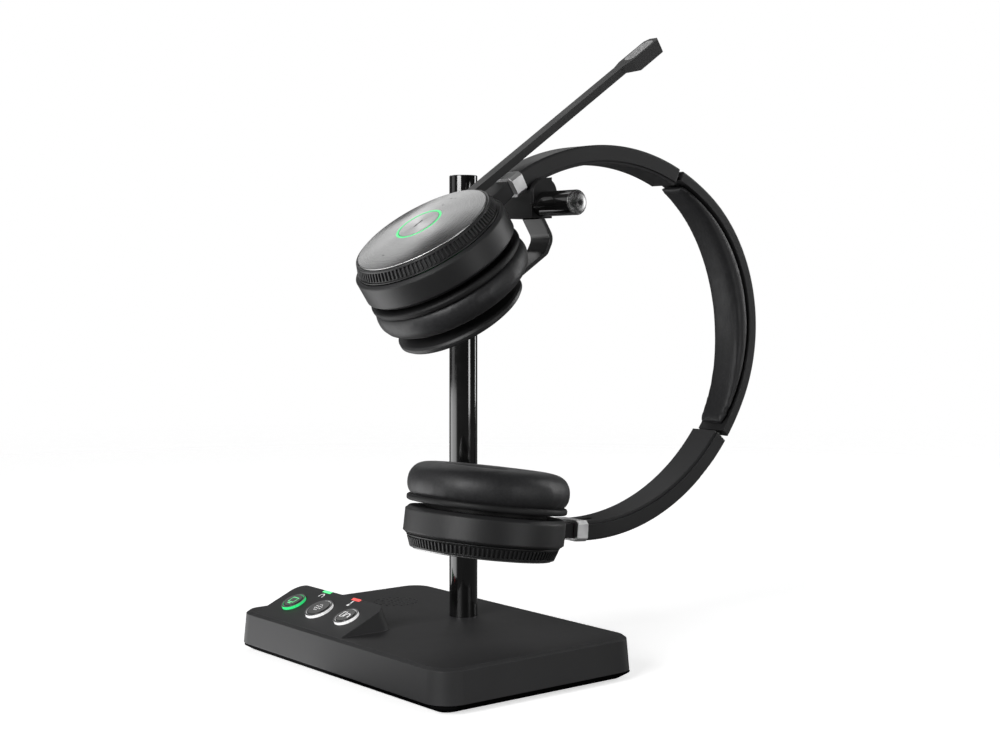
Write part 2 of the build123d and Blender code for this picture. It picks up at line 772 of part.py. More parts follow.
# ---------------------------------------------------------------- boom
boom_ring = rib_ring()
boom_foot = -boom_top - boom_thickness
bar = block(
    rib_ring_top_r - over, boom_neck + tip_flare, -boom_width / 2, boom_width / 2, boom_foot, -boom_top
)
cone = turned([
    (0, -rib_ring_foot), (rib_ring_foot_r, -rib_ring_foot),
    (rib_ring_top_r, -rib_ring_top), (0, -rib_ring_top),
])
bar = bar - cone
tip_foot = -boom_top - tip_thickness
tip_face = make_face(Polyline(
    (boom_neck - tip_flare, -boom_top), (boom_length, -boom_top),
    (boom_length - tip_rake, tip_foot), (boom_neck + tip_heel, tip_foot),
    (boom_neck - tip_flare, boom_foot), close=True,
).edges())
tip_side = Plane(origin=(0, 0, 0), x_dir=(1, 0, 0), z_dir=(0, -1, 0)) * (
    Pos(0, 0, -tip_width / 2) * extrude(tip_face, tip_width, dir=(0, 0, 1))
)
plan = make_face(Polyline(
    (boom_neck - tip_flare, -boom_width / 2), (boom_neck, -tip_width / 2),
    (boom_length - tip_corner, -tip_width / 2), (boom_length, tip_corner - tip_width / 2),
    (boom_length, tip_width / 2 - tip_corner), (boom_length - tip_corner, tip_width / 2),
    (boom_neck, tip_width / 2), (boom_neck - tip_flare, boom_width / 2), close=True,
).edges())
tip = tip_side & (Pos(0, 0, tip_foot - over) * extrude(plan, tip_thickness + 2 * over))
grille_length, grille_width, grille_depth = grille_plate
grille_mid = (boom_neck + boom_length) / 2 - grille_back
grille_face = Pos(grille_mid, 0, -boom_top - grille_depth) * SlotOverall(grille_length, grille_width)
mic_grille = extrude(grille_face, grille_depth)
capsule = Pos(grille_mid, 0) * disc(capsule_r, -boom_top - grille_depth - capsule_h, -boom_top - grille_depth)
nodes["boom_ring"] = upper * boom_ring
nodes["boom_arm"] = upper * (bar + tip - mic_grille - capsule)
nodes["mic_grille"] = upper * mic_grille
nodes["mic_capsule"] = upper * capsule

# ---------------------------------------------------------------- tray and strap
tray_top = -cushion_foot - tray_gap
tray_place = upper * Pos(tray_shift, 0, 0)
tray_lip = tray_top - tray_fall
tray_foot = tray_lip - tray_edge
tray = tray_place * turned([
    (0, tray_top), (tray_flat_r, tray_top), (tray_r - tray_edge_r, tray_lip),
    (tray_r, tray_lip - tray_edge_r), (tray_r, tray_foot + tray_edge_r),
    (tray_r - tray_edge_r, tray_foot), (0, tray_foot),
])
strap_end = (tray_place * Pos(tray_r - strap_lap, 0, (tray_lip + tray_foot) / 2)).position
strap_plane = Plane(origin=(bow_x + strap_off, 0, 0), x_dir=(0, 1, 0), z_dir=(1, 0, 0))
strap_points = [(pole_y + y, rod_z + z) for y, z in (strap_top, strap_back, strap_bend)]
strap_path = strap_plane * FilletPolyline(
    *strap_points, (strap_end.Y, strap_end.Z), radius=strap_bend_r,
)
strap_section = Plane(origin=strap_path @ 0, x_dir=(1, 0, 0), z_dir=strap_path % 0) * Rectangle(
    strap_width, strap_thickness
)
strap = sweep(strap_section, strap_path)
strap = strap - block(-far, far, -far, far, rod_z - cradle_drop, far)
nodes["cradle_strap"] = strap
nodes["cup_tray"] = tray - strap

# ---------------------------------------------------------------- files
os.makedirs("parts", exist_ok=True)
for name, solid in nodes.items():
    export_step(solid, f"parts/{name}.step")
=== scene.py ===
import json
from math import copysign, cos, hypot, pi, radians, sin, tau

import bmesh
import bpy
import numpy as np
from mathutils import Matrix, Vector


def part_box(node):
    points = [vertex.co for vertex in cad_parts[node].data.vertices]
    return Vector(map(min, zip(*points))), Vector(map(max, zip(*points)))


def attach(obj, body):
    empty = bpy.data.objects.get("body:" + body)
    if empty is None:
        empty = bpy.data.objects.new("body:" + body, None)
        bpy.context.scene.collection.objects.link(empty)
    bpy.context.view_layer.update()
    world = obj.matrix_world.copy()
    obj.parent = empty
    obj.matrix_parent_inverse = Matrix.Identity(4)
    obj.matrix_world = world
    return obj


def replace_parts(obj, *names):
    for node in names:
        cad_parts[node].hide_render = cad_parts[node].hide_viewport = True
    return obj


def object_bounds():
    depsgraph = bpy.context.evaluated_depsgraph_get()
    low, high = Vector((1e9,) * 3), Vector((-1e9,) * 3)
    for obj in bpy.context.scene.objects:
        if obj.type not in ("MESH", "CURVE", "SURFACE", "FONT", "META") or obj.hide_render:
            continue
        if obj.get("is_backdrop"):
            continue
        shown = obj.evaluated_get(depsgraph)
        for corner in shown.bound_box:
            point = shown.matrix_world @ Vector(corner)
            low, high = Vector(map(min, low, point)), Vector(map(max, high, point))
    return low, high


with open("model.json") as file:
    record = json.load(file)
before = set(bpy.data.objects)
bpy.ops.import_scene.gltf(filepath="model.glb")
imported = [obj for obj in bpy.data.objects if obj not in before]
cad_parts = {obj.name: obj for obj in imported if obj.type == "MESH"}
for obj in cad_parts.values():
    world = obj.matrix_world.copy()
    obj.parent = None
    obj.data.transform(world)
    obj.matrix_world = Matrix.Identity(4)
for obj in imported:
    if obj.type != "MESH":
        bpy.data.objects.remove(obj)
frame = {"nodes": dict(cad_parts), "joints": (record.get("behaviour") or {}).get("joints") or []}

cad_low, cad_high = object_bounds()
cad = frame["nodes"]
joints = {joint["name"]: joint for joint in frame["joints"]}
scene = bpy.context.scene
mm = 0.001

# ---------------------------------------------------------------- studio
# A pale floor that melts into a white surround, and five soft boxes: a strong one in front, one low
# on the right, a narrow one behind, and weak ones left and high behind the left. Floor and surround
# are white to look at and dim as lights, apart from a bright reflector sheet lying on the left.
scene.view_settings.view_transform = "Standard"
surround_glow = 0.07
floor_glow = 0.10
floor_r = 1.7
floor_fades = (0.35, 1.2)
floor_paleness = 0.62
sheet_glow = 3.0
sheet_way = (-0.656, -0.755, 0)
sheet_edge = (0.72, 0.95)
white = (1, 1, 1, 1)


def feed(tree, node, links):
    """Links a node's inputs, or gives them values."""
    for socket, source in dict(links).items():
        if isinstance(source, bpy.types.NodeSocket):
            tree.links.new(source, node.inputs[socket])
        else:
            node.inputs[socket].default_value = source


def add(tree, kind, links=(), **settings):
    """A node with its settings and its inputs."""
    node = tree.nodes.new(kind)
    for name, value in settings.items():
        setattr(node, name, value)
    feed(tree, node, links)
    return node


def ranged(tree, source, low, high, to_low, to_high, **settings):
    """A value carried from one range over to another and held at its ends."""
    links = {"Value": source, "From Min": low, "From Max": high, "To Min": to_low, "To Max": to_high}
    return add(tree, "ShaderNodeMapRange", links, **settings).outputs["Result"]


def tinted(tree, color, shade):
    """A colour multiplied by a shade."""
    links = {"Factor": 1.0, 6: color, 7: shade}
    return add(tree, "ShaderNodeMix", links, data_type="RGBA", blend_type="MULTIPLY").outputs[2]


def new_finish(name):
    """A material with nodes, its tree, and its own shader."""
    material = bpy.data.materials.new(name)
    material.use_nodes = True
    return material, material.node_tree, material.node_tree.nodes["Principled BSDF"]


def mesh_of(shape, name):
    """Turns a worked shape into a mesh with this name."""
    mesh = bpy.data.meshes.new(name)
    shape.to_mesh(mesh)
    shape.free()
    return mesh


def soft_box(name, place, aim, size, power):
    """A rectangular lamp of this size in metres and power in watts that faces a point."""
    light = bpy.data.lights.new(name, "AREA")
    light.shape = "RECTANGLE"
    light.size, light.size_y = size
    light.energy = power
    box = bpy.data.objects.new(name, light)
    box.location = place
    box.rotation_euler = (Vector(place) - Vector(aim)).to_track_quat("Z", "Y").to_euler()
    scene.collection.objects.link(box)


middle = (cad_low + cad_high) / 2
soft_box("left_box", (-0.80, -0.95, 0.50), middle, (0.7, 1.0), 1.5)
soft_box("rim_box", (0.30, 1.30, 0.45), middle, (0.35, 1.1), 7)
soft_box("high_box", (-1.10, 0.45, 0.98), middle, (1.0, 0.6), 2.4)
soft_box("front_box", (0.40, -1.30, 0.60), middle, (0.8, 0.7), 20)
soft_box("right_box", (1.25, 0.30, 0.12), middle, (0.3, 0.8), 6)

world = bpy.data.worlds.new("surround")
scene.world = world
world.use_nodes = True
tree = world.node_tree
seen = tree.nodes["Background"]
seen.inputs["Color"].default_value = white
lit = add(tree, "ShaderNodeBackground", {"Color": white, "Strength": surround_glow})
ray = add(tree, "ShaderNodeLightPath")
pick = add(
    tree, "ShaderNodeMixShader",
    {0: ray.outputs["Is Camera Ray"], 1: lit.outputs[0], 2: seen.outputs[0]},
)
feed(tree, tree.nodes["World Output"], {"Surface": pick.outputs[0]})

shape = bmesh.new()
bmesh.ops.create_circle(shape, cap_ends=True, radius=floor_r, segments=128)
floor_mesh = mesh_of(shape, "floor")
floor = bpy.data.objects.new("floor", floor_mesh)
scene.collection.objects.link(floor)
floor_paint, tree, pale = new_finish("pale_floor")
feed(tree, pale, {
    "Base Color": (0.86, 0.86, 0.86, 1), "Roughness": 0.8, "Specular IOR Level": 0.1,
    "Emission Color": white, "Emission Strength": floor_paleness,
})
place = add(tree, "ShaderNodeTexCoord")
reach = add(tree, "ShaderNodeVectorMath", {0: place.outputs["Object"]}, operation="LENGTH")
fade = ranged(tree, reach.outputs["Value"], *floor_fades, 0.0, 1.0, interpolation_type="SMOOTHSTEP")
clear = add(tree, "ShaderNodeBsdfTransparent")
melt = add(tree, "ShaderNodeMixShader", {0: fade, 1: pale.outputs[0], 2: clear.outputs[0]})
toward = add(tree, "ShaderNodeVectorMath", {0: place.outputs["Object"]}, operation="NORMALIZE")
along = add(
    tree, "ShaderNodeVectorMath", {0: toward.outputs["Vector"], 1: sheet_way}, operation="DOT_PRODUCT"
)
sheet = ranged(
    tree, along.outputs["Value"], *sheet_edge, floor_glow, sheet_glow, interpolation_type="SMOOTHSTEP"
)
dim = add(tree, "ShaderNodeEmission", {"Strength": sheet})
ray = add(tree, "ShaderNodeLightPath")
seen = add(
    tree, "ShaderNodeMixShader",
    {0: ray.outputs["Is Camera Ray"], 1: dim.outputs[0], 2: melt.outputs[0]},
)
feed(tree, tree.nodes["Material Output"], {"Surface": seen.outputs[0]})
floor_mesh.materials.append(floor_paint)
floor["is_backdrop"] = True

# ---------------------------------------------------------------- camera
# Level, looking past the keys at the front left corner, with the frame shifted down to the stand.
eye = bpy.data.cameras.new("camera")
eye.lens = 59.64
eye.sensor_width = 36
eye.shift_y = -0.09696
camera = bpy.data.objects.new("camera", eye)
camera.location = (0.558906, -0.413224, 0.161466)
camera.rotation_euler = (radians(90), 0, radians(51.088))
scene.collection.objects.link(camera)
scene.camera = camera

# ---------------------------------------------------------------- moulded casings of the stand
# The base shell and the headset's casings are injection moulded ABS with a fine spark-eroded skin.
# Their edges are painted lighter in patches, a painted highlight. One shader group makes that skin for
# every moulded piece.


def group_of(name, inputs, outputs):
    """An empty shader group with its sockets, and its two end nodes."""
    group = bpy.data.node_groups.new(name, "ShaderNodeTree")
    for socket, kind, value in inputs:
        made = group.interface.new_socket(socket, in_out="INPUT", socket_type=kind)
        made.default_value = value
    for socket, kind in outputs:
        group.interface.new_socket(socket, in_out="OUTPUT", socket_type=kind)
    return group, group.nodes.new("NodeGroupInput"), group.nodes.new("NodeGroupOutput")


skin, skin_in, skin_out = group_of(
    "moulded_skin",
    [
        ("Color", "NodeSocketColor", (0.02, 0.02, 0.02, 1)),
        ("Edge Highlight Color", "NodeSocketColor", (0.05, 0.05, 0.05, 1)),
        ("Roughness", "NodeSocketFloat", 0.5),
        ("Grain Size", "NodeSocketFloat", 0.4 * mm),
        ("Grain Depth", "NodeSocketFloat", 0.3),
        ("Edge Width", "NodeSocketFloat", 0.4 * mm),
    ],
    [("Color", "NodeSocketColor"), ("Roughness", "NodeSocketFloat"), ("Normal", "NodeSocketVector")],
)
where = add(skin, "ShaderNodeTexCoord")
per_metre = add(skin, "ShaderNodeMath", {0: 1.0, 1: skin_in.outputs["Grain Size"]}, operation="DIVIDE")
grain = add(
    skin, "ShaderNodeTexNoise",
    {"Vector": where.outputs["Object"], "Scale": per_metre.outputs[0], "Detail": 2.0, "Roughness": 0.6},
)
cloud = add(skin, "ShaderNodeTexNoise", {"Vector": where.outputs["Object"], "Scale": 38.0, "Detail": 4.0})
soft_edge = add(skin, "ShaderNodeBevel", {"Radius": skin_in.outputs["Edge Width"]}, samples=4)
flat = add(skin, "ShaderNodeNewGeometry")
facing = add(
    skin, "ShaderNodeVectorMath", {0: soft_edge.outputs["Normal"], 1: flat.outputs["Normal"]},
    operation="DOT_PRODUCT",
)
# Lighter colour where the bevel rounds an edge, in patches: a painted highlight.
edge_highlight_mask = ranged(skin, facing.outputs["Value"], 0.995, 0.80, 0.0, 1.0)
patchy_edge_highlight = add(skin, "ShaderNodeMath", {0: edge_highlight_mask, 1: cloud.outputs["Fac"]}, operation="MULTIPLY")
body_tone = ranged(skin, cloud.outputs["Fac"], 0.3, 0.7, 0.88, 1.12)
toned = tinted(skin, skin_in.outputs["Color"], body_tone)
edge_highlighted = add(
    skin, "ShaderNodeMix",
    {"Factor": patchy_edge_highlight.outputs[0], 6: toned, 7: skin_in.outputs["Edge Highlight Color"]},
    data_type="RGBA",
)
rough_by = ranged(skin, cloud.outputs["Fac"], 0.3, 0.7, -0.04, 0.04)
rough = add(skin, "ShaderNodeMath", {0: skin_in.outputs["Roughness"], 1: rough_by}, operation="ADD")
bump = add(
    skin, "ShaderNodeBump",
    {
        "Strength": skin_in.outputs["Grain Depth"], "Distance": 0.03 * mm,
        "Height": grain.outputs["Fac"], "Normal": soft_edge.outputs["Normal"],
    },
)
feed(skin, skin_out, {
    "Color": edge_highlighted.outputs[2], "Roughness": rough.outputs[0], "Normal": bump.outputs["Normal"],
})


def finish_with(name, group, values, sockets=()):
    """A material with a shader group in front of its own shader, and that shader's constants."""
    material, tree, shader = new_finish(name)
    node = tree.nodes.new("ShaderNodeGroup")
    node.node_tree = group
    feed(tree, node, values)
    feed(tree, shader, {
        "Base Color": node.outputs["Color"], "Roughness": node.outputs["Roughness"],
        "Normal": node.outputs["Normal"],
    })
    feed(tree, shader, sockets)
    return material


def moulded(name, tone, edge_highlight, roughness, level=0.35, grain_size=0.4 * mm, depth=0.3, edge_width=0.4 * mm):
    """Moulded plastic in one grey, with a lighter painted highlight along its edges."""
    return finish_with(
        name, skin,
        {
            "Color": (tone, tone, tone * 1.03, 1), "Edge Highlight Color": (edge_highlight, edge_highlight, edge_highlight * 1.03, 1),
            "Roughness": roughness,
            "Grain Size": grain_size, "Grain Depth": depth, "Edge Width": edge_width,
        },
        {"Specular IOR Level": level},
    )


def paint(material, *names):
    """Gives CAD nodes a finish in all their material slots."""
    for name in names:
        for slot in cad[name].material_slots:
            slot.material = material


stand_black = moulded("stand_black", 0.026, 0.07, 0.55, level=0.22, edge_width=0.5 * mm)
paint(stand_black, "base_shell")

# ---------------------------------------------------------------- base cover
# A moulded tray in dull black plastic closes the shell from below, painted near black and without
# reflection as the shade under the shell's edge. It tapers inward to its foot, where its outer wall
# stands a little further out than the plain solid's.
cover_shade_black = moulded("cover_shade_black", 0.004, 0.004, 0.9, level=0.0)
paint(cover_shade_black, "base_cover")
cover_fuller = 3.0 * mm
cover_foot = 3.2 * mm
cover_core = (57.8 * mm, 32.5 * mm)
cover_wall = 9.3 * mm
cover_mesh = cad["base_cover"].data.copy()
cover_mesh.name = "full_cover"
for v in cover_mesh.vertices:
    past_x, past_y = max(abs(v.co.x) - cover_core[0], 0), max(abs(v.co.y) - cover_core[1], 0)
    if v.co.z < cover_foot and hypot(past_x, past_y) > cover_wall:
        push = Vector((copysign(past_x, v.co.x), copysign(past_y, v.co.y), 0)).normalized()
        v.co += push * cover_fuller
full_cover = bpy.data.objects.new("full_cover", cover_mesh)
scene.collection.objects.link(full_cover)
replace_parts(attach(full_cover, "stand"), "base_cover")

# ---------------------------------------------------------------- foot mat and screws under the base
# A die-cut silicone mat in a recess of the cover keeps the stand from sliding. Four zinc-plated
# screws under it hold the cover, and a steel plate above it gives the stand its weight.
mat_black = moulded("mat_black", 0.014, 0.02, 0.85, level=0.2, grain_size=1.1 * mm, depth=0.9)
paint(mat_black, "foot_mat")


def metal(name, color, roughness, streak=0.06, streak_size=(900, 900, 60)):
    """Bare or plated metal with fine streaks in its roughness and tone."""
    material, tree, shader = new_finish(name)
    where = add(tree, "ShaderNodeTexCoord")
    spread = add(tree, "ShaderNodeMapping", {"Vector": where.outputs["Object"], "Scale": streak_size})
    lines = add(tree, "ShaderNodeTexNoise", {"Vector": spread.outputs[0], "Scale": 1.0, "Detail": 3.0})
    tone = ranged(tree, lines.outputs["Fac"], 0.3, 0.7, 0.85, 1.1)
    colored = tinted(tree, (*color, 1), tone)
    rough = ranged(tree, lines.outputs["Fac"], 0.3, 0.7, roughness - streak, roughness + streak)
    round_edge = add(tree, "ShaderNodeBevel", {"Radius": 0.25 * mm}, samples=4)
    feed(tree, shader, {
        "Base Color": colored, "Roughness": rough, "Normal": round_edge.outputs["Normal"], "Metallic": 1.0,
    })
    return material


zinc = metal("zinc_plate", (0.62, 0.62, 0.60), 0.35, streak_size=(300, 300, 300))
paint(zinc, "cover_screws", "ballast_plate", "pole_nut", "usb_sockets")

# ---------------------------------------------------------------- circuit boards, drivers, battery
# Sealed inside the stand and the cups: green fibreglass boards with a fine print, the speaker
# drivers and the ringer with their paper cones, and a foil-wrapped lithium cell.
board_green, tree, shader = new_finish("board_green")
where = add(tree, "ShaderNodeTexCoord")
tracks = add(
    tree, "ShaderNodeTexBrick",
    {
        "Vector": where.outputs["Object"], "Scale": 260.0, "Mortar Size": 0.02,
        "Color1": (0.008, 0.075, 0.028, 1), "Color2": (0.006, 0.055, 0.022, 1),
        "Mortar": (0.03, 0.16, 0.06, 1),
    },
)
feed(tree, shader, {"Base Color": tracks.outputs["Color"], "Roughness": 0.35})
paint(board_green, "base_board", "key_board", "upper_board")
cone_black = moulded("cone_black", 0.02, 0.03, 0.8, grain_size=0.6 * mm, depth=0.8)
paint(cone_black, "ringer", "upper_driver", "lower_driver", "mic_capsule")
foil = metal("battery_foil", (0.55, 0.56, 0.58), 0.4, streak_size=(120, 120, 120))
paint(foil, "lower_battery")

# ---------------------------------------------------------------- call keys and their lit rings
# Three domed keys of gloss black polycarbonate travel in clear light pipes that a diode under each
# one lights: green for the desktop line, white for the desk set and the mobile phone.
key_black = moulded("key_black", 0.010, 0.06, 0.28, level=0.5, depth=0.05, edge_width=0.35 * mm)
paint(key_black, "left_key", "middle_key", "right_key")
mask_over = 0.75
mask_black = (0.012, 0.012, 0.013, 1)


def lit_pipe(name, color, strength, masked=None):
    """A moulded light pipe with a trace of moulding ribs. A face that looks along masked is black."""
    material, tree, shader = new_finish(name)
    where = add(tree, "ShaderNodeTexCoord")
    ribs = add(
        tree, "ShaderNodeTexWave", {"Vector": where.outputs["Object"], "Scale": 520.0, "Distortion": 0.6},
        bands_direction="X",
    )
    shade = ranged(tree, ribs.outputs["Fac"], 0.0, 1.0, 0.82, 1.0)
    glow = tinted(tree, (*color, 1), shade)
    if masked:
        face = add(tree, "ShaderNodeNewGeometry")
        along = add(
            tree, "ShaderNodeVectorMath", {0: face.outputs["Normal"], 1: masked}, operation="DOT_PRODUCT"
        )
        covered = add(
            tree, "ShaderNodeMath", {0: along.outputs["Value"], 1: mask_over}, operation="GREATER_THAN"
        )
        glow = add(
            tree, "ShaderNodeMix",
            {"Factor": covered.outputs[0], 6: glow, 7: mask_black}, data_type="RGBA",
        ).outputs[2]
    feed(tree, shader, {
        "Base Color": glow, "Emission Color": glow, "Emission Strength": strength, "Roughness": 0.3,
    })
    return material


panel_tilt = radians(23.6)
panel_up = Vector((0, -sin(panel_tilt), cos(panel_tilt)))
panel_back = Vector((0, cos(panel_tilt), sin(panel_tilt)))
pipe_green = lit_pipe("pipe_green", (0.03, 0.62, 0.17), 0.75)
skirt_green = lit_pipe("skirt_green", (0.03, 0.62, 0.17), 0.80, masked=panel_up)
skirt_white = lit_pipe("skirt_white", (0.80, 0.80, 0.80), 0.60, masked=panel_up)
lamp_green = lit_pipe("lamp_green", (0.06, 0.85, 0.22), 0.9)
lamp_red = lit_pipe("lamp_red", (0.85, 0.05, 0.04), 0.8)
paint(skirt_green, "left_key_ring")
paint(skirt_white, "middle_key_ring", "right_key_ring")
paint(lamp_green, "status_light")
paint(lamp_red, "mute_light")

# ---------------------------------------------------------------- printed signs on the key panel
# Pad-printed signs, a hair proud of the plastic: a green screen, a white dot pad and a white phone
# on the keys, and a headset and a microphone in white beside the two lamps. The ink has a painted glow.
stroke_width = 0.6
ink_lift = 0.03 * mm
lamp_sign_lift = 0.05 * mm
lamp_to_sign = 3.7 * mm
x_way = Vector((1, 0, 0))


def mesh_piece(name, mesh, material):
    """An object with this mesh and finish, in the scene."""
    piece = bpy.data.objects.new(name, mesh)
    scene.collection.objects.link(piece)
    mesh.materials.append(material)
    return piece


def strokes(name, lines, width, middle, right, up, lift, material):
    """Flat ribbons along lines of (x, y) points in millimetres, lifted a little off a face."""
    normal = right.cross(up)
    shape = bmesh.new()
    for points, closed in lines:
        count = len(points)
        rows = []
        for k, (x, y) in enumerate(points):
            before = points[k - 1] if k or closed else points[k]
            after = points[(k + 1) % count] if k < count - 1 or closed else points[k]
            along = Vector((after[0] - before[0], after[1] - before[1])).normalized()
            across = Vector((-along.y, along.x)) * width / 2
            rows.append([
                shape.verts.new(
                    middle + mm * (right * (x + s * across.x) + up * (y + s * across.y)) + normal * lift
                )
                for s in (1, -1)
            ])
        for k in range(count if closed else count - 1):
            a, b = rows[k], rows[(k + 1) % count]
            shape.faces.new((a[0], a[1], b[1], b[0]))
    bmesh.ops.recalc_face_normals(shape, faces=shape.faces)
    for face in shape.faces:
        if face.normal.dot(normal) < 0:
            face.normal_flip()
    return mesh_piece(name, mesh_of(shape, name), material)


def arc(x, y, r, start, end, steps=10):
    """Points on an arc about (x, y) from one angle to another, in degrees."""
    turns = [radians(start + (end - start) * k / steps) for k in range(steps + 1)]
    return [(x + r * cos(turn), y + r * sin(turn)) for turn in turns]


print_white_glow, tree, shader = new_finish("print_white_glow")
where = add(tree, "ShaderNodeTexCoord")
speckle = add(tree, "ShaderNodeTexNoise", {"Vector": where.outputs["Object"], "Scale": 2500.0})
ink = ranged(tree, speckle.outputs["Fac"], 0.0, 1.0, 0.70, 0.86)
# The white ink glows a little: a painted glow.
feed(tree, shader, {
    "Base Color": ink, "Emission Color": ink, "Emission Strength": 0.35, "Roughness": 0.6,
})
# The green sign is made as a glowing pipe: a painted glow.
print_green_glow = lit_pipe("print_green_glow", (0.10, 0.72, 0.24), 0.7)

screen = [
    ([(-1.9, -1.3), (1.9, -1.3), (1.9, 1.9), (-1.9, 1.9)], True),
    ([(-1.1, -2.2), (1.1, -2.2)], False),
]
dot_places = (-1.8, -0.6, 0.6, 1.8)
dots = [
    ([(x - 0.3, y), (x + 0.3, y)], False)
    for x in dot_places for y in dot_places if abs(x) + abs(y) < 3.2
]
phone = [
    ([(-2.6, -1.5), (-0.7, -1.5), (-0.7, 1.8), (-2.6, 1.8)], True),
    (arc(1.3, -0.1, 1.3, 190, -10), False),
    ([(0.0, -0.3), (0.0, -1.3)], False),
    ([(2.6, -0.3), (2.6, -1.3)], False),
]
signs = {
    "left_key": ("screen_sign", screen, print_green_glow),
    "middle_key": ("dot_pad_sign", dots, print_white_glow),
    "right_key": ("phone_sign", phone, print_white_glow),
}
for node, (name, lines, ink_paint) in signs.items():
    points = np.array([v.co for v in cad[node].data.vertices])
    key_top = points @ np.array(panel_up)
    level = float(key_top.max())
    top = Vector(points[key_top > level - 0.3 * mm].mean(0))
    top = top + panel_up * (level - top.dot(panel_up))
    sign = strokes(name, lines, stroke_width, top, x_way, panel_back, ink_lift, ink_paint)
    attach(sign, node)

headset_glyph = [
    (arc(0, -0.2, 1.2, 180, 0), False),
    ([(-1.2, -0.2), (-1.2, -1.3)], False),
    ([(1.2, -0.2), (1.2, -1.3)], False),
]
mic_glyph = [
    ([(0, -0.2), (0, 1.7)], False),
    ([(0, -1.7), (0, -0.6)], False),
    ([(-0.8, -1.6), (0.8, -1.6)], False),
]
for node, name, lines, shift_x, width in (
    ("status_light", "headset_sign", headset_glyph, 0.0, 0.5),
    ("mute_light", "microphone_sign", mic_glyph, -0.3, 0.8),
):
    low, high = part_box(node)
    corners = [v.co for v in cad[node].data.vertices]
    level = max(co.dot(panel_up) for co in corners)
    rear = max(co.dot(panel_back) for co in corners if co.dot(panel_up) > level - 0.2 * mm)
    sign_at = panel_up * level + panel_back * (rear - lamp_to_sign)
    sign_at.x = (low.x + high.x) / 2 + shift_x * mm
    sign = strokes(name, lines, width, sign_at, x_way, panel_back, lamp_sign_lift, print_white_glow)
    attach(sign, "stand")

# ---------------------------------------------------------------- pole, cross rod and their caps
# Steel tube under a piano-black lacquer. The rod's end is a lathe-turned plug, so fine rings run
# round it and light gathers on it in wedges.
lacquer, tree, shader = new_finish("black_lacquer")
where = add(tree, "ShaderNodeTexCoord")
dust = add(tree, "ShaderNodeTexNoise", {"Vector": where.outputs["Object"], "Scale": 140.0, "Detail": 5.0})
haze = ranged(tree, dust.outputs["Fac"], 0.35, 0.75, 0.07, 0.13)
deep = ranged(tree, dust.outputs["Fac"], 0.35, 0.75, 0.003, 0.006)
feed(tree, shader, {
    "Base Color": deep, "Roughness": haze, "Specular IOR Level": 0.6,
    "Coat Weight": 0.5, "Coat Roughness": 0.05,
})
paint(lacquer, "pole", "pole_cap", "cross_rod")


def lathe(name, outline, place, segments=160, material=None):
    """Turns a closed outline of (radius, height) points, in metres, about the place's Z axis.
    U runs once round the axis, and V is the distance along the outline in millimetres."""
    shape = bmesh.new()
    lay = shape.loops.layers.uv.new("turned")
    run = [0.0]
    for (r0, z0), (r1, z1) in zip(outline, outline[1:] + outline[:1]):
        run.append(run[-1] + hypot(r1 - r0, z1 - z0) / mm)
    rings = []
    for r, z in outline:
        if r < 1e-7:
            rings.append([shape.verts.new(place @ Vector((0, 0, z)))] * segments)
        else:
            turns = [tau * k / segments for k in range(segments)]
            rings.append([shape.verts.new(place @ Vector((r * cos(t), r * sin(t), z))) for t in turns])
    count = len(outline)
    for i in range(count):
        a, b = rings[i], rings[(i + 1) % count]
        if a[0] is a[1] and b[0] is b[1]:
            continue
        for k in range(segments):
            n = (k + 1) % segments
            corners = [(a[k], k, i), (a[n], k + 1, i), (b[n], k + 1, i + 1), (b[k], k, i + 1)]
            if a[0] is a[1]:
                corners = [corners[0], corners[2], corners[3]]
            if b[0] is b[1]:
                corners = corners[:3]
            face = shape.faces.new([c[0] for c in corners])
            for loop, (_, turn, step) in zip(face.loops, corners):
                loop[lay].uv = (turn / segments, run[step])
    bmesh.ops.recalc_face_normals(shape, faces=shape.faces)
    mesh = mesh_of(shape, name)
    mesh.polygons.foreach_set("use_smooth", [True] * len(mesh.polygons))
    mesh.set_sharp_from_angle(angle=radians(40))
    return mesh_piece(name, mesh, material)


def rounded(corners, steps=4):
    """An outline whose (radius, height, fillet) corners are rounded."""
    points = []
    count = len(corners)
    for k, (r, z, fillet) in enumerate(corners):
        here = Vector((r, z))
        if not fillet:
            points.append((r, z))
            continue
        before = Vector(corners[k - 1][:2]) - here
        after = Vector(corners[(k + 1) % count][:2]) - here
        half = before.angle(after) / 2
        cut = min(fillet / np.tan(half), before.length * 0.49, after.length * 0.49)
        start, end = here + before.normalized() * cut, here + after.normalized() * cut
        for step in range(steps + 1):
            t = step / steps
            point = start * (1 - t) ** 2 + here * 2 * t * (1 - t) + end * t ** 2
            points.append((point.x, point.y))
    return points


def turned_metal(name, tone, roughness, line_pitch, contrast, anisotropy):
    """Metal cut on a lathe: rings of uneven depth, along V, and light drawn out across them."""
    material, tree, shader = new_finish(name)
    uv = add(tree, "ShaderNodeUVMap", uv_map="turned")
    split = add(tree, "ShaderNodeSeparateXYZ", {0: uv.outputs[0]})
    per_mm = add(tree, "ShaderNodeMath", {0: split.outputs["Y"], 1: 1 / line_pitch}, operation="MULTIPLY")
    rings = add(
        tree, "ShaderNodeTexNoise", {"W": per_mm.outputs[0], "Scale": 1.0, "Detail": 2.0},
        noise_dimensions="1D",
    )
    tone_of = ranged(tree, rings.outputs["Fac"], 0.3, 0.7, tone * (1 - contrast), tone * (1 + contrast))
    rough = ranged(tree, rings.outputs["Fac"], 0.3, 0.7, roughness - 0.05, roughness + 0.05)
    bump = add(
        tree, "ShaderNodeBump", {"Strength": 0.12, "Distance": 0.03 * mm, "Height": rings.outputs["Fac"]}
    )
    way = add(tree, "ShaderNodeTangent", direction_type="UV_MAP", uv_map="turned")
    feed(tree, shader, {
        "Base Color": tone_of, "Roughness": rough, "Normal": bump.outputs["Normal"],
        "Tangent": way.outputs["Tangent"], "Metallic": 1.0, "Anisotropic": anisotropy,
    })
    return material


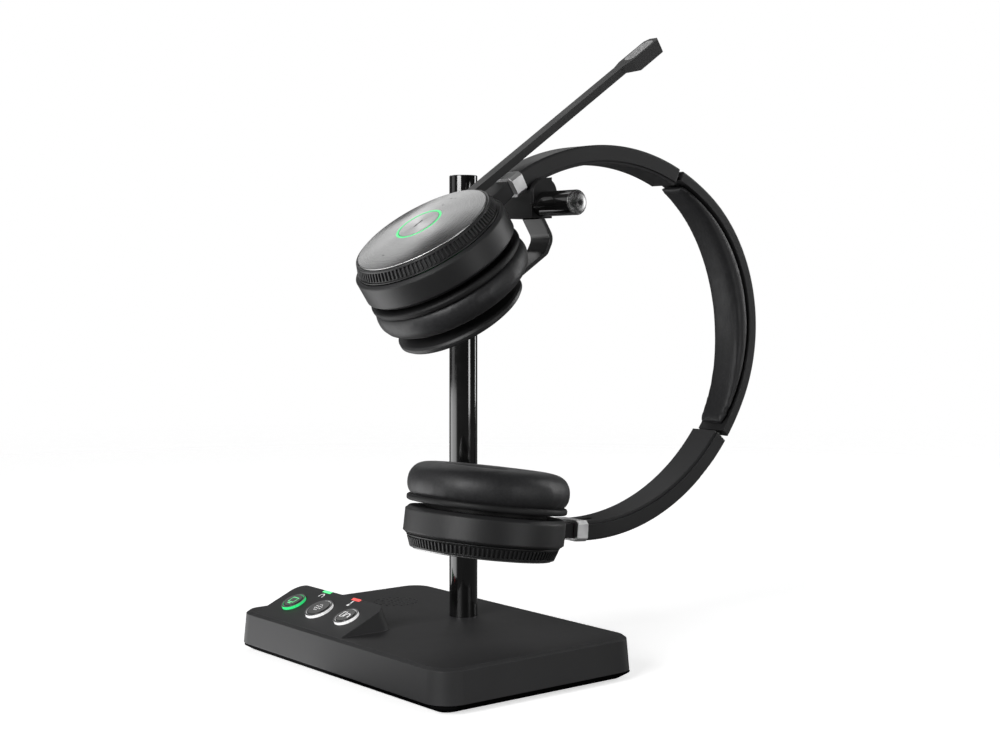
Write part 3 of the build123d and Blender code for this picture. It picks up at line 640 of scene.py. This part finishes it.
rod_low, rod_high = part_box("rod_end_cap")
rod_middle = (rod_low + rod_high) / 2
rod_place = Matrix.Translation((rod_low.x, rod_middle.y, rod_middle.z)) @ Matrix.Rotation(pi / 2, 4, "Y")
rod_r = (rod_high.z - rod_low.z) / 2
rod_cap_h = rod_high.x - rod_low.x
turned_steel = turned_metal("turned_steel", 0.20, 0.20, 0.09, 0.2, 0.95)
rod_cap = lathe(
    "rod_end_plug",
    rounded([
        (0, 0, 0), (rod_r, 0, 0), (rod_r, rod_cap_h * 0.55, 0.2 * mm),
        (rod_r - 0.35 * mm, rod_cap_h, 0.15 * mm), (rod_r - 0.7 * mm, rod_cap_h, 0),
        (rod_r - 0.9 * mm, rod_cap_h - 0.1 * mm, 0), (0, rod_cap_h - 0.1 * mm, 0),
    ]),
    rod_place, 96, turned_steel,
)
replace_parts(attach(rod_cap, "stand"), "rod_end_cap")

# ---------------------------------------------------------------- cradle, charging pins, strap, tray
# The cradle is a moulded saddle on the rod with a round stop tab and two sprung gold pins. A bent
# steel strap hangs from the rod and holds the round tray that the upper ear cushion lies on.
cradle_black = moulded("cradle_black", 0.008, 0.03, 0.42, level=0.25)
paint(cradle_black, "cradle_block")
gold = metal("pin_gold", (0.83, 0.60, 0.26), 0.25, streak_size=(200, 200, 200))
paint(gold, "charge_pins", "upper_charge_contact", "lower_charge_contact")
# The strap's much lighter edge colour is a painted highlight.
strap_steel = moulded("strap_steel", 0.010, 0.16, 0.36, level=0.5, depth=0.05, edge_width=0.5 * mm)
paint(strap_steel, "cradle_strap")
tray_black = moulded("tray_black", 0.016, 0.06, 0.42, level=0.35, edge_width=0.6 * mm)
paint(tray_black, "cup_tray")

# ---------------------------------------------------------------- headband and arms
# Two moulded arms slide on steel strips in the ends of the moulded band. Each arm has a thin liner
# of softer grey plastic on the inside, and a satin silver ring clips it to its cup.
band_black = moulded("band_black", 0.017, 0.05, 0.50, level=0.30, edge_width=0.6 * mm)
paint(band_black, "band_shell", "upper_arm_shell", "lower_arm_shell", "upper_cup_pivot", "lower_cup_pivot")
liner_grey = moulded("liner_grey", 0.026, 0.06, 0.62, level=0.30)
paint(liner_grey, "upper_arm_liner", "lower_arm_liner")
paint(zinc, "band_spring")
strip_steel = metal("strip_steel", (0.10, 0.10, 0.10), 0.35)
paint(strip_steel, "upper_slide_strip", "lower_slide_strip")
satin_silver = metal("satin_silver", (0.80, 0.80, 0.80), 0.48, streak_size=(2500, 120, 120))
paint(satin_silver, "upper_clip_ring", "lower_clip_ring")

# ---------------------------------------------------------------- cup casings and baffles
# Each cup is a moulded case on a neck. The neck ends in a rimmed plate that carries the cushion.
cup_black = moulded("cup_black", 0.017, 0.05, 0.46, level=0.36, edge_width=1.0 * mm)
paint(cup_black, "upper_cup_housing", "lower_cup_housing")
baffle_black = moulded("baffle_black", 0.009, 0.02, 0.55, level=0.25, edge_width=0.8 * mm)
paint(baffle_black, "upper_baffle", "lower_baffle")

# ---------------------------------------------------------------- outer discs and the call button
# Spun aluminium covers with a shallow dome, cut on a lathe, so fine rings run round them. The upper
# one has the call button in its middle inside a lit ring, and pinholes for its microphones.
bow_lean = radians(13.36)
cup_lean = radians(21.2)
hinge_out = 26.4 * mm
hinge_in = 10.6 * mm


def cup_place(side):
    """A cup's own frame: X along its arm, Z out through its disc, and the disc's rim at zero."""
    up = 1 if side == "upper" else -1
    tilt = cup_lean + up * bow_lean
    out = Vector((0, -sin(tilt), up * cos(tilt)))
    along = Vector((0, cos(tilt), up * sin(tilt)))
    hinge = Vector(joints[side + "_cup_tilt"]["pos_m"])
    centre = hinge - along * hinge_out + out * hinge_in
    return Matrix.Translation(centre) @ Matrix((along, out.cross(along), out)).transposed().to_4x4()


cup_at = {side: cup_place(side) for side in ("upper", "lower")}
disc_r = 28.0 * mm
disc_dome = 2.6 * mm
lower_dome = 1.3 * mm
disc_skin = 1.2 * mm
disc_lip = 0.35 * mm
light_r = 9.9 * mm
button_r = 8.8 * mm


def dome_sphere(dome):
    """The radius of the sphere that a disc with this dome is part of."""
    return (disc_r ** 2 + dome ** 2) / (2 * dome)


def dome_height(r, dome=disc_dome):
    """How far a disc stands above its rim at this radius."""
    return dome - dome_sphere(dome) + (dome_sphere(dome) ** 2 - r ** 2) ** 0.5


def dome_outline(r_in, r_out, skin, steps, lip, dome=disc_dome):
    """A domed cover's outline, with a small rolled lip at its rim."""
    top = [r_in + (r_out - lip - r_in) * k / steps for k in range(steps + 1)]
    points = [(r, dome_height(r, dome)) for r in top]
    for k in range(1, 5):
        turn = pi / 2 * k / 4
        fall = lip * (1 - cos(turn))
        points.append((r_out - lip + lip * sin(turn), dome_height(r_out - lip, dome) - fall))
    points.append((r_out, points[-1][1] - 0.3 * mm))
    points.append((r_out - skin, points[-1][1]))
    points += [(r, dome_height(r, dome) - skin) for r in reversed(top[:-1])]
    return points


spun = turned_metal("spun_aluminium", 0.48, 0.27, 0.16, 0.12, 0.85)
for side, inner, dome in (("upper", light_r, disc_dome), ("lower", 0, lower_dome)):
    outline = dome_outline(inner, disc_r, disc_skin, 26, disc_lip, dome)
    cover = lathe(side + "_spun_disc", outline, cup_at[side], 192, spun)
    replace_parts(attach(cover, side + "_cup"), side + "_disc")
outline = dome_outline(0, button_r, 2.0 * mm, 10, 0.2 * mm)
button = lathe("call_button_cap", outline, cup_at["upper"], 128, spun)
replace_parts(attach(button, "call_button"), "call_button")
paint(pipe_green, "button_light")

# The microphone pinholes are flat black discs on the dome: painted shade where the holes are. The same
# black draws the mark on the call button.
pinhole_shade_and_mark_black = moulded("pinhole_shade_and_mark_black", 0.002, 0.002, 0.9, level=0.1)
pinholes = [(19.7, 1.4), (19.7, -1.4), (13.9, 0.0), (-20.2, 1.0)]
hole_r = 0.36 * mm
mark_lift = 0.02 * mm
shape = bmesh.new()
for x, y in pinholes:
    height = dome_height(hypot(x, y) * mm) + mark_lift
    lean = Vector((x * mm, y * mm, height + dome_sphere(disc_dome) - disc_dome))
    spot = Matrix.Translation((x * mm, y * mm, height)) @ lean.to_track_quat("Z", "Y").to_matrix().to_4x4()
    bmesh.ops.create_circle(shape, cap_ends=True, radius=hole_r, segments=20, matrix=cup_at["upper"] @ spot)
pinhole_shades = mesh_piece("microphone_pinholes", mesh_of(shape, "microphone_pinholes"), pinhole_shade_and_mark_black)
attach(pinhole_shades, "upper_cup")
along, across, out = (Vector(cup_at["upper"].col[k][:3]) for k in range(3))
mark = strokes(
    "button_mark", [([(-2.3, 0), (2.3, 0)], False)], 0.5,
    cup_at["upper"].translation + out * (disc_dome + mark_lift), along, across, 0, pinhole_shade_and_mark_black,
)
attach(mark, "call_button")

# ---------------------------------------------------------------- ribbed rings
# A moulded grip ring runs round each disc. The upper one turns with the boom, and the lower one is
# fixed. Each is a plain tapered core with two collars and a row of upright ribs between them.
ring_top_r = 29.0 * mm
ring_foot_r = 30.8 * mm
ring_top = 0.5 * mm
ring_foot = 5.4 * mm
rib_count = 104
rib_width = 0.85 * mm
rib_depth = 0.75 * mm
collar = 0.75 * mm
ring_inner_r = 27.0 * mm
ring_seat_r = 28.25 * mm
ring_seat = 1.0 * mm


def ring_radius(depth):
    """The ring's outside at a depth below the disc's rim."""
    return ring_top_r + (ring_foot_r - ring_top_r) * (depth - ring_top) / (ring_foot - ring_top)


def ring_outline():
    """The core's outline: a groove for the ribs between two collars, and a seat for the disc's rim."""
    high, low = ring_top + collar, ring_foot - collar * 0.6
    return rounded([
        (ring_inner_r, -ring_foot, 0), (ring_foot_r, -ring_foot, 0.25 * mm),
        (ring_radius(low), -low, 0.1 * mm), (ring_radius(low) - rib_depth, -low, 0),
        (ring_radius(high) - rib_depth, -high, 0), (ring_radius(high), -high, 0.1 * mm),
        (ring_top_r, -ring_top, 0.3 * mm), (ring_seat_r, -ring_top, 0.15 * mm),
        (ring_seat_r, -ring_seat, 0), (ring_inner_r, -ring_seat, 0),
    ])


shape = bmesh.new()
bmesh.ops.create_cube(shape, size=1)
for vert in shape.verts:
    vert.co.x *= 2 * rib_depth
    vert.co.y *= rib_width
    vert.co.z *= ring_foot - ring_top - 1.7 * collar
upright = [e for e in shape.edges if abs(e.verts[0].co.z - e.verts[1].co.z) > mm and e.verts[0].co.x > 0]
bmesh.ops.bevel(shape, geom=upright, offset=0.3 * mm, segments=2, profile=0.5, affect="EDGES")
rib = bpy.data.objects.new("rib", mesh_of(shape, "rib"))
scene.collection.objects.link(rib)


def node_tree(name, sockets):
    """A geometry tree with named inputs; it returns the tree and its two end nodes."""
    tree = bpy.data.node_groups.new(name, "GeometryNodeTree")
    tree.interface.new_socket("Geometry", in_out="INPUT", socket_type="NodeSocketGeometry")
    for socket, kind in sockets:
        tree.interface.new_socket(socket, in_out="INPUT", socket_type=kind)
    tree.interface.new_socket("Geometry", in_out="OUTPUT", socket_type="NodeSocketGeometry")
    return tree, tree.nodes.new("NodeGroupInput"), tree.nodes.new("NodeGroupOutput")


def grown(name, tree, values, place, base=None):
    """Runs a geometry tree with these values and keeps its result as a plain mesh in its place."""
    seed = bpy.data.objects.new(name + "_seed", base or bpy.data.meshes.new(name + "_seed"))
    scene.collection.objects.link(seed)
    modifier = seed.modifiers.new("grow", "NODES")
    modifier.node_group = tree
    for item in tree.interface.items_tree:
        if item.in_out == "INPUT" and item.name in values:
            modifier[item.identifier] = values[item.name]
    bpy.context.view_layer.update()
    mesh = bpy.data.meshes.new_from_object(seed.evaluated_get(bpy.context.evaluated_depsgraph_get()))
    mesh.name = name
    mesh.transform(place)
    bpy.data.objects.remove(seed)
    piece = bpy.data.objects.new(name, mesh)
    scene.collection.objects.link(piece)
    return piece


ribs, ribs_in, ribs_out = node_tree("rib_row", [
    ("Rib", "NodeSocketObject"), ("Count", "NodeSocketInt"), ("Radius", "NodeSocketFloat"),
    ("Height", "NodeSocketFloat"), ("Lean", "NodeSocketFloat"), ("Finish", "NodeSocketMaterial"),
])
spots = add(ribs, "GeometryNodePoints", {"Count": ribs_in.outputs["Count"]})
index = add(ribs, "GeometryNodeInputIndex")
share = add(ribs, "ShaderNodeMath", {0: index.outputs[0], 1: ribs_in.outputs["Count"]}, operation="DIVIDE")
turn = add(ribs, "ShaderNodeMath", {0: share.outputs[0], 1: tau}, operation="MULTIPLY")
cosine = add(ribs, "ShaderNodeMath", {0: turn.outputs[0]}, operation="COSINE")
sine = add(ribs, "ShaderNodeMath", {0: turn.outputs[0]}, operation="SINE")
circle = add(ribs, "ShaderNodeCombineXYZ", {"X": cosine.outputs[0], "Y": sine.outputs[0]})
spread = add(
    ribs, "ShaderNodeVectorMath",
    {0: circle.outputs[0], "Scale": ribs_in.outputs["Radius"]}, operation="SCALE",
)
lift = add(ribs, "ShaderNodeCombineXYZ", {"Z": ribs_in.outputs["Height"]})
spot = add(ribs, "ShaderNodeVectorMath", {0: spread.outputs[0], 1: lift.outputs[0]}, operation="ADD")
moved = add(ribs, "GeometryNodeSetPosition", {"Geometry": spots.outputs[0], "Position": spot.outputs[0]})
angles = add(ribs, "ShaderNodeCombineXYZ", {"Y": ribs_in.outputs["Lean"], "Z": turn.outputs[0]})
one_rib = add(ribs, "GeometryNodeObjectInfo", {"Object": ribs_in.outputs["Rib"]})
row = add(
    ribs, "GeometryNodeInstanceOnPoints",
    {"Points": moved.outputs[0], "Instance": one_rib.outputs["Geometry"], "Rotation": angles.outputs[0]},
)
real = add(ribs, "GeometryNodeRealizeInstances", {"Geometry": row.outputs[0]})
painted = add(
    ribs, "GeometryNodeSetMaterial",
    {"Geometry": real.outputs[0], "Material": ribs_in.outputs["Finish"]},
)
ribs.links.new(painted.outputs[0], ribs_out.inputs[0])

ring_black = moulded("ring_black", 0.013, 0.06, 0.42, level=0.40, depth=0.1, edge_width=0.2 * mm)
middle_depth = (ring_top + ring_foot) / 2
rib_sink = 0.05 * mm
ring_lean = np.arctan((ring_foot_r - ring_top_r) / (ring_foot - ring_top))
for side, body, node in (("upper", "boom", "boom_ring"), ("lower", "lower_cup", "lower_rib_ring")):
    core = lathe(side + "_ring_core", ring_outline(), cup_at[side], 208, ring_black)
    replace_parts(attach(core, body), node)
    teeth = grown(
        side + "_ring_ribs", ribs,
        {
            "Rib": rib, "Count": rib_count, "Radius": ring_radius(middle_depth) - rib_depth - rib_sink,
            "Height": -middle_depth, "Lean": -ring_lean, "Finish": ring_black,
        },
        cup_at[side],
    )
    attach(teeth, body)
bpy.data.objects.remove(rib)

# ---------------------------------------------------------------- boom and its microphone grille
# A slim moulded boom, with a foot that joins it to its ring and a wider tip. A punched steel grille
# is let into the top of the tip over the microphone.
boom_black = moulded("boom_black", 0.009, 0.010, 0.50, level=0.38, depth=0.0, edge_width=0.02 * mm)
paint(boom_black, "boom_arm")
foot_size = Vector((2.6, 5.6, 3.3)) * mm
foot_at = Vector((29.2, 0, -2.25)) * mm
shape = bmesh.new()
bmesh.ops.create_cube(shape, size=1)
for vert in shape.verts:
    vert.co = cup_at["upper"] @ (foot_at + Vector(a * b for a, b in zip(vert.co, foot_size)))
bmesh.ops.bevel(shape, geom=shape.edges[:], offset=0.25 * mm, segments=2, profile=0.5, affect="EDGES")
foot = mesh_piece("boom_foot", mesh_of(shape, "boom_foot"), boom_black)
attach(foot, "boom")

grille_at = 140.5 * mm
grille_length = 17.0 * mm
grille_width = 6.4 * mm
grille_top = -0.55 * mm
grille_skin = 0.35 * mm
hole_pitch = 0.95 * mm
punched_r = 0.27 * mm
holes_along = 15
holes_across = 5
shape = bmesh.new()
half = (grille_length - grille_width) / 2
rim = arc(half, 0, grille_width / 2, -90, 90, 12) + arc(-half, 0, grille_width / 2, 90, 270, 12)
plate = shape.faces.new([shape.verts.new((x, y, 0)) for x, y in rim])
pushed = bmesh.ops.extrude_face_region(shape, geom=[plate])
for item in pushed["geom"]:
    if isinstance(item, bmesh.types.BMVert):
        item.co.z -= grille_skin
bmesh.ops.recalc_face_normals(shape, faces=shape.faces)
plate_mesh = mesh_of(shape, "grille_plate")

punch, punch_in, punch_out = node_tree("punched_plate", [
    ("Hole Radius", "NodeSocketFloat"), ("Length", "NodeSocketFloat"), ("Width", "NodeSocketFloat"),
    ("Holes Along", "NodeSocketInt"), ("Holes Across", "NodeSocketInt"), ("Depth", "NodeSocketFloat"),
    ("Finish", "NodeSocketMaterial"),
])
field = add(
    punch, "GeometryNodeMeshGrid",
    {
        "Size X": punch_in.outputs["Length"], "Size Y": punch_in.outputs["Width"],
        "Vertices X": punch_in.outputs["Holes Along"], "Vertices Y": punch_in.outputs["Holes Across"],
    },
)
pin = add(
    punch, "GeometryNodeMeshCylinder",
    {"Vertices": 10, "Radius": punch_in.outputs["Hole Radius"], "Depth": punch_in.outputs["Depth"]},
)
pins = add(
    punch, "GeometryNodeInstanceOnPoints",
    {"Points": field.outputs["Mesh"], "Instance": pin.outputs["Mesh"]},
)
solid_pins = add(punch, "GeometryNodeRealizeInstances", {"Geometry": pins.outputs[0]})
cut = add(
    punch, "GeometryNodeMeshBoolean", {"Mesh 1": punch_in.outputs["Geometry"]}, operation="DIFFERENCE"
)
punch.links.new(solid_pins.outputs[0], cut.inputs["Mesh 2"])
punched = add(
    punch, "GeometryNodeSetMaterial",
    {"Geometry": cut.outputs["Mesh"], "Material": punch_in.outputs["Finish"]},
)
punch.links.new(punched.outputs[0], punch_out.inputs[0])
grille_steel = metal("grille_steel", (0.42, 0.42, 0.42), 0.42, streak_size=(300, 300, 300))
grille = grown(
    "punched_grille", punch,
    {
        "Hole Radius": punched_r, "Length": (holes_along - 1) * hole_pitch,
        "Width": (holes_across - 1) * hole_pitch, "Holes Along": holes_along,
        "Holes Across": holes_across, "Depth": 2 * mm, "Finish": grille_steel,
    },
    cup_at["upper"] @ Matrix.Translation((grille_at, 0, grille_top)), base=plate_mesh,
)
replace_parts(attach(grille, "boom"), "mic_grille")

# ---------------------------------------------------------------- ear cushions
# Soft rings of foam in synthetic leather, gathered in where they meet the rimmed plate and dished
# in the middle, where cloth covers the driver. They are blown up by cloth simulation.
leather, leather_in, leather_out = group_of(
    "leather_grain",
    [
        ("Color", "NodeSocketColor", (0.02, 0.02, 0.02, 1)), ("Roughness", "NodeSocketFloat", 0.45),
        ("Pebble Size", "NodeSocketFloat", 0.9 * mm), ("Pebble Depth", "NodeSocketFloat", 0.5),
    ],
    [("Color", "NodeSocketColor"), ("Roughness", "NodeSocketFloat"), ("Normal", "NodeSocketVector")],
)
where = add(leather, "ShaderNodeTexCoord")
per_metre = add(
    leather, "ShaderNodeMath", {0: 1.0, 1: leather_in.outputs["Pebble Size"]}, operation="DIVIDE"
)
warp = add(
    leather, "ShaderNodeTexNoise", {"Vector": where.outputs["Object"], "Scale": 700.0, "Detail": 2.0}
)
bent = add(
    leather, "ShaderNodeMix", {"Factor": 0.0006, 4: where.outputs["Object"], 5: warp.outputs["Color"]},
    data_type="VECTOR",
)
cells = add(
    leather, "ShaderNodeTexVoronoi", {"Vector": bent.outputs[1], "Scale": per_metre.outputs[0]},
    feature="SMOOTH_F1",
)
folds = add(
    leather, "ShaderNodeTexNoise", {"Vector": where.outputs["Object"], "Scale": 160.0, "Detail": 3.0}
)
crease = ranged(leather, cells.outputs["Distance"], 0.0, 0.75, 1.0, 0.0)
height = add(leather, "ShaderNodeMath", {0: crease, 1: folds.outputs["Fac"]}, operation="ADD")
tone = ranged(leather, crease, 0.0, 1.0, 0.75, 1.15)
hide = tinted(leather, leather_in.outputs["Color"], tone)
sheen_by = ranged(leather, folds.outputs["Fac"], 0.3, 0.7, -0.05, 0.05)
rough = add(leather, "ShaderNodeMath", {0: leather_in.outputs["Roughness"], 1: sheen_by}, operation="ADD")
bump = add(
    leather, "ShaderNodeBump",
    {"Strength": leather_in.outputs["Pebble Depth"], "Distance": 0.06 * mm, "Height": height.outputs[0]},
)
feed(leather, leather_out, {
    "Color": hide, "Roughness": rough.outputs[0], "Normal": bump.outputs["Normal"],
})
cushion_leather = finish_with(
    "cushion_leather", leather,
    {"Color": (0.017, 0.017, 0.018, 1), "Roughness": 0.48, "Pebble Size": 0.8 * mm, "Pebble Depth": 0.35},
    {"Specular IOR Level": 0.35, "Sheen Weight": 0.05, "Sheen Roughness": 0.4},
)


def stuffed(form, name, voxel, cap, held, material):
    """Remeshes a form evenly, blows it up as cloth with its held points pinned, and smooths it."""
    even = form.modifiers.new("even", "REMESH")
    even.mode = "VOXEL"
    even.voxel_size = voxel
    bpy.context.view_layer.update()
    mesh = bpy.data.meshes.new_from_object(form.evaluated_get(bpy.context.evaluated_depsgraph_get()))
    bpy.data.objects.remove(form)
    mesh.materials.clear()
    piece = mesh_piece(name, mesh, material)
    start = np.array([v.co for v in mesh.vertices])
    pinned = piece.vertex_groups.new(name="held")
    pinned.add([v.index for v in mesh.vertices if held(v.co)], 1.0, "REPLACE")
    cloth = piece.modifiers.new("cloth", "CLOTH")
    cloth.settings.vertex_group_mass = "held"
    cloth.settings.use_pressure = True
    cloth.settings.uniform_pressure_force = 4.0
    cloth.settings.effector_weights.gravity = 0.0
    for frame_number in range(1, 21):
        scene.frame_set(frame_number)
    blown = piece.evaluated_get(bpy.context.evaluated_depsgraph_get())
    end = np.array([v.co for v in blown.data.vertices])
    step = end - start
    far = np.maximum(np.linalg.norm(step, axis=1), 1e-9)
    end = start + step * np.minimum(1.0, cap / far)[:, None]
    piece.modifiers.remove(cloth)
    piece.vertex_groups.clear()
    scene.frame_set(1)
    mesh.vertices.foreach_set("co", end.astype(np.float32).ravel())
    even_out = piece.modifiers.new("relax", "SMOOTH")
    even_out.iterations = 4
    even_out.factor = 0.5
    finer = piece.modifiers.new("finer", "SUBSURF")
    finer.levels = finer.render_levels = 1
    bpy.context.view_layer.update()
    smooth = bpy.data.meshes.new_from_object(piece.evaluated_get(bpy.context.evaluated_depsgraph_get()))
    piece.modifiers.clear()
    piece.data = smooth
    smooth.name = name
    smooth.polygons.foreach_set("use_smooth", [True] * len(smooth.polygons))
    return piece


seat = -20.6
held_above = -22.0 * mm
dish_r = 11 * mm
voxel = 1.9 * mm
cap = 1.1 * mm
cushion_outline = [
    (0, 8.8), (11.5, 8.8), (13.2, 10.8), (16.0, 12.1), (22.0, 12.5), (27.6, 12.0), (30.9, 10.4),
    (32.7, 7.4), (32.9, 4.6), (32.4, 2.2), (31.4, 0.9), (30.4, 0), (0, 0),
]


def glued_in(cup):
    """The test for a cushion's glued part: by the rimmed plate, and in the dish in the middle."""
    back = cup.inverted()

    def held(co):
        """Whether a point in the scene is glued."""
        at = back @ co
        return at.z > held_above or hypot(at.x, at.y) < dish_r

    return held


for side, loft in (("upper", 1.0), ("lower", 1.14)):
    outline = [(r * mm, (seat - deep * loft) * mm) for r, deep in cushion_outline]
    form = lathe(side + "_foam", outline, cup_at[side], 96)
    held = glued_in(cup_at[side])
    cushion = stuffed(form, side + "_leather_cushion", voxel, cap, held, cushion_leather)
    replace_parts(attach(cushion, side + "_cup"), side + "_ear_cushion")

# ---------------------------------------------------------------- crown pad
# A foam pad in synthetic leather under the crown of the headband. It is thin at its ends and
# thickest in the middle, rounded at its long edges, and blown up by cloth simulation.
crown_r = 71.5
side_r = 101.1
side_start = radians(40.6)
band_depth = 4.65
pad_end = radians(50.4)
pad_thin = 3.2
pad_thick = 9.6
pad_half = 7.3
pad_bulge = 1.0
pad_round = 0.62
held_depth = 0.9
held_past = radians(44)
upper_centre = Vector(joints["upper_size_slide"]["pos_m"])
lower_centre = Vector(joints["lower_size_slide"]["pos_m"])
crown_way = Vector((0, cos(bow_lean), sin(bow_lean)))
rise_way = Vector((0, -sin(bow_lean), cos(bow_lean)))
bow_centre = (upper_centre + lower_centre) / 2 + crown_way * (side_r - crown_r) * cos(side_start) * mm


def bow_point(angle, depth):
    """A point in the bow's plane, in millimetres, at an angle about its arc's centre."""
    if abs(angle) <= side_start:
        return ((crown_r - depth) * cos(angle), (crown_r - depth) * sin(angle))
    sign = 1 if angle > 0 else -1
    reach = side_r - crown_r
    return (
        -reach * cos(side_start) + (side_r - depth) * cos(angle),
        -sign * reach * sin(side_start) + (side_r - depth) * sin(angle),
    )


stations = 64
around = 20
shape = bmesh.new()
sections = []
for k in range(stations + 1):
    share = 2 * k / stations - 1
    thick = pad_thin + (pad_thick - pad_thin) * (1 - share ** 2)
    half_width = pad_half + pad_bulge * (1 - share ** 2)
    section = []
    for j in range(around):
        turn = tau * j / around
        side_by = half_width * copysign(abs(cos(turn)) ** pad_round, cos(turn))
        deep = band_depth + thick / 2 * (1 + copysign(abs(sin(turn)) ** pad_round, sin(turn)))
        v, u = bow_point(pad_end * share, deep)
        point = bow_centre + mm * (crown_way * v + rise_way * u + x_way * side_by)
        section.append(shape.verts.new(point))
    sections.append(section)
for a, b in zip(sections, sections[1:]):
    for j in range(around):
        shape.faces.new((a[j], a[(j + 1) % around], b[(j + 1) % around], b[j]))
shape.faces.new(sections[0][::-1])
shape.faces.new(sections[-1])
bmesh.ops.recalc_face_normals(shape, faces=shape.faces)
form = bpy.data.objects.new("pad_foam", mesh_of(shape, "pad_foam"))
scene.collection.objects.link(form)
pad_leather = finish_with(
    "pad_leather", leather,
    {"Color": (0.013, 0.013, 0.014, 1), "Roughness": 0.50, "Pebble Size": 0.8 * mm, "Pebble Depth": 0.3},
    {"Specular IOR Level": 0.32, "Sheen Weight": 0.05, "Sheen Roughness": 0.4},
)


def beside_band(co):
    """Whether a point of the pad lies against the band or at the pad's ends."""
    off = co - bow_centre
    v, u = off.dot(crown_way) / mm, off.dot(rise_way) / mm
    angle = abs(np.arctan2(u, v))
    if hypot(v, u) > crown_r - band_depth - held_depth and angle < side_start:
        return True
    return angle > held_past


voxel = 1.7 * mm
cap = 0.8 * mm
pad = stuffed(form, "crown_leather_pad", voxel, cap, beside_band, pad_leather)
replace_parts(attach(pad, "headband"), "crown_pad")

# ---------------------------------------------------------------- measure the sizes
low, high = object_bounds()
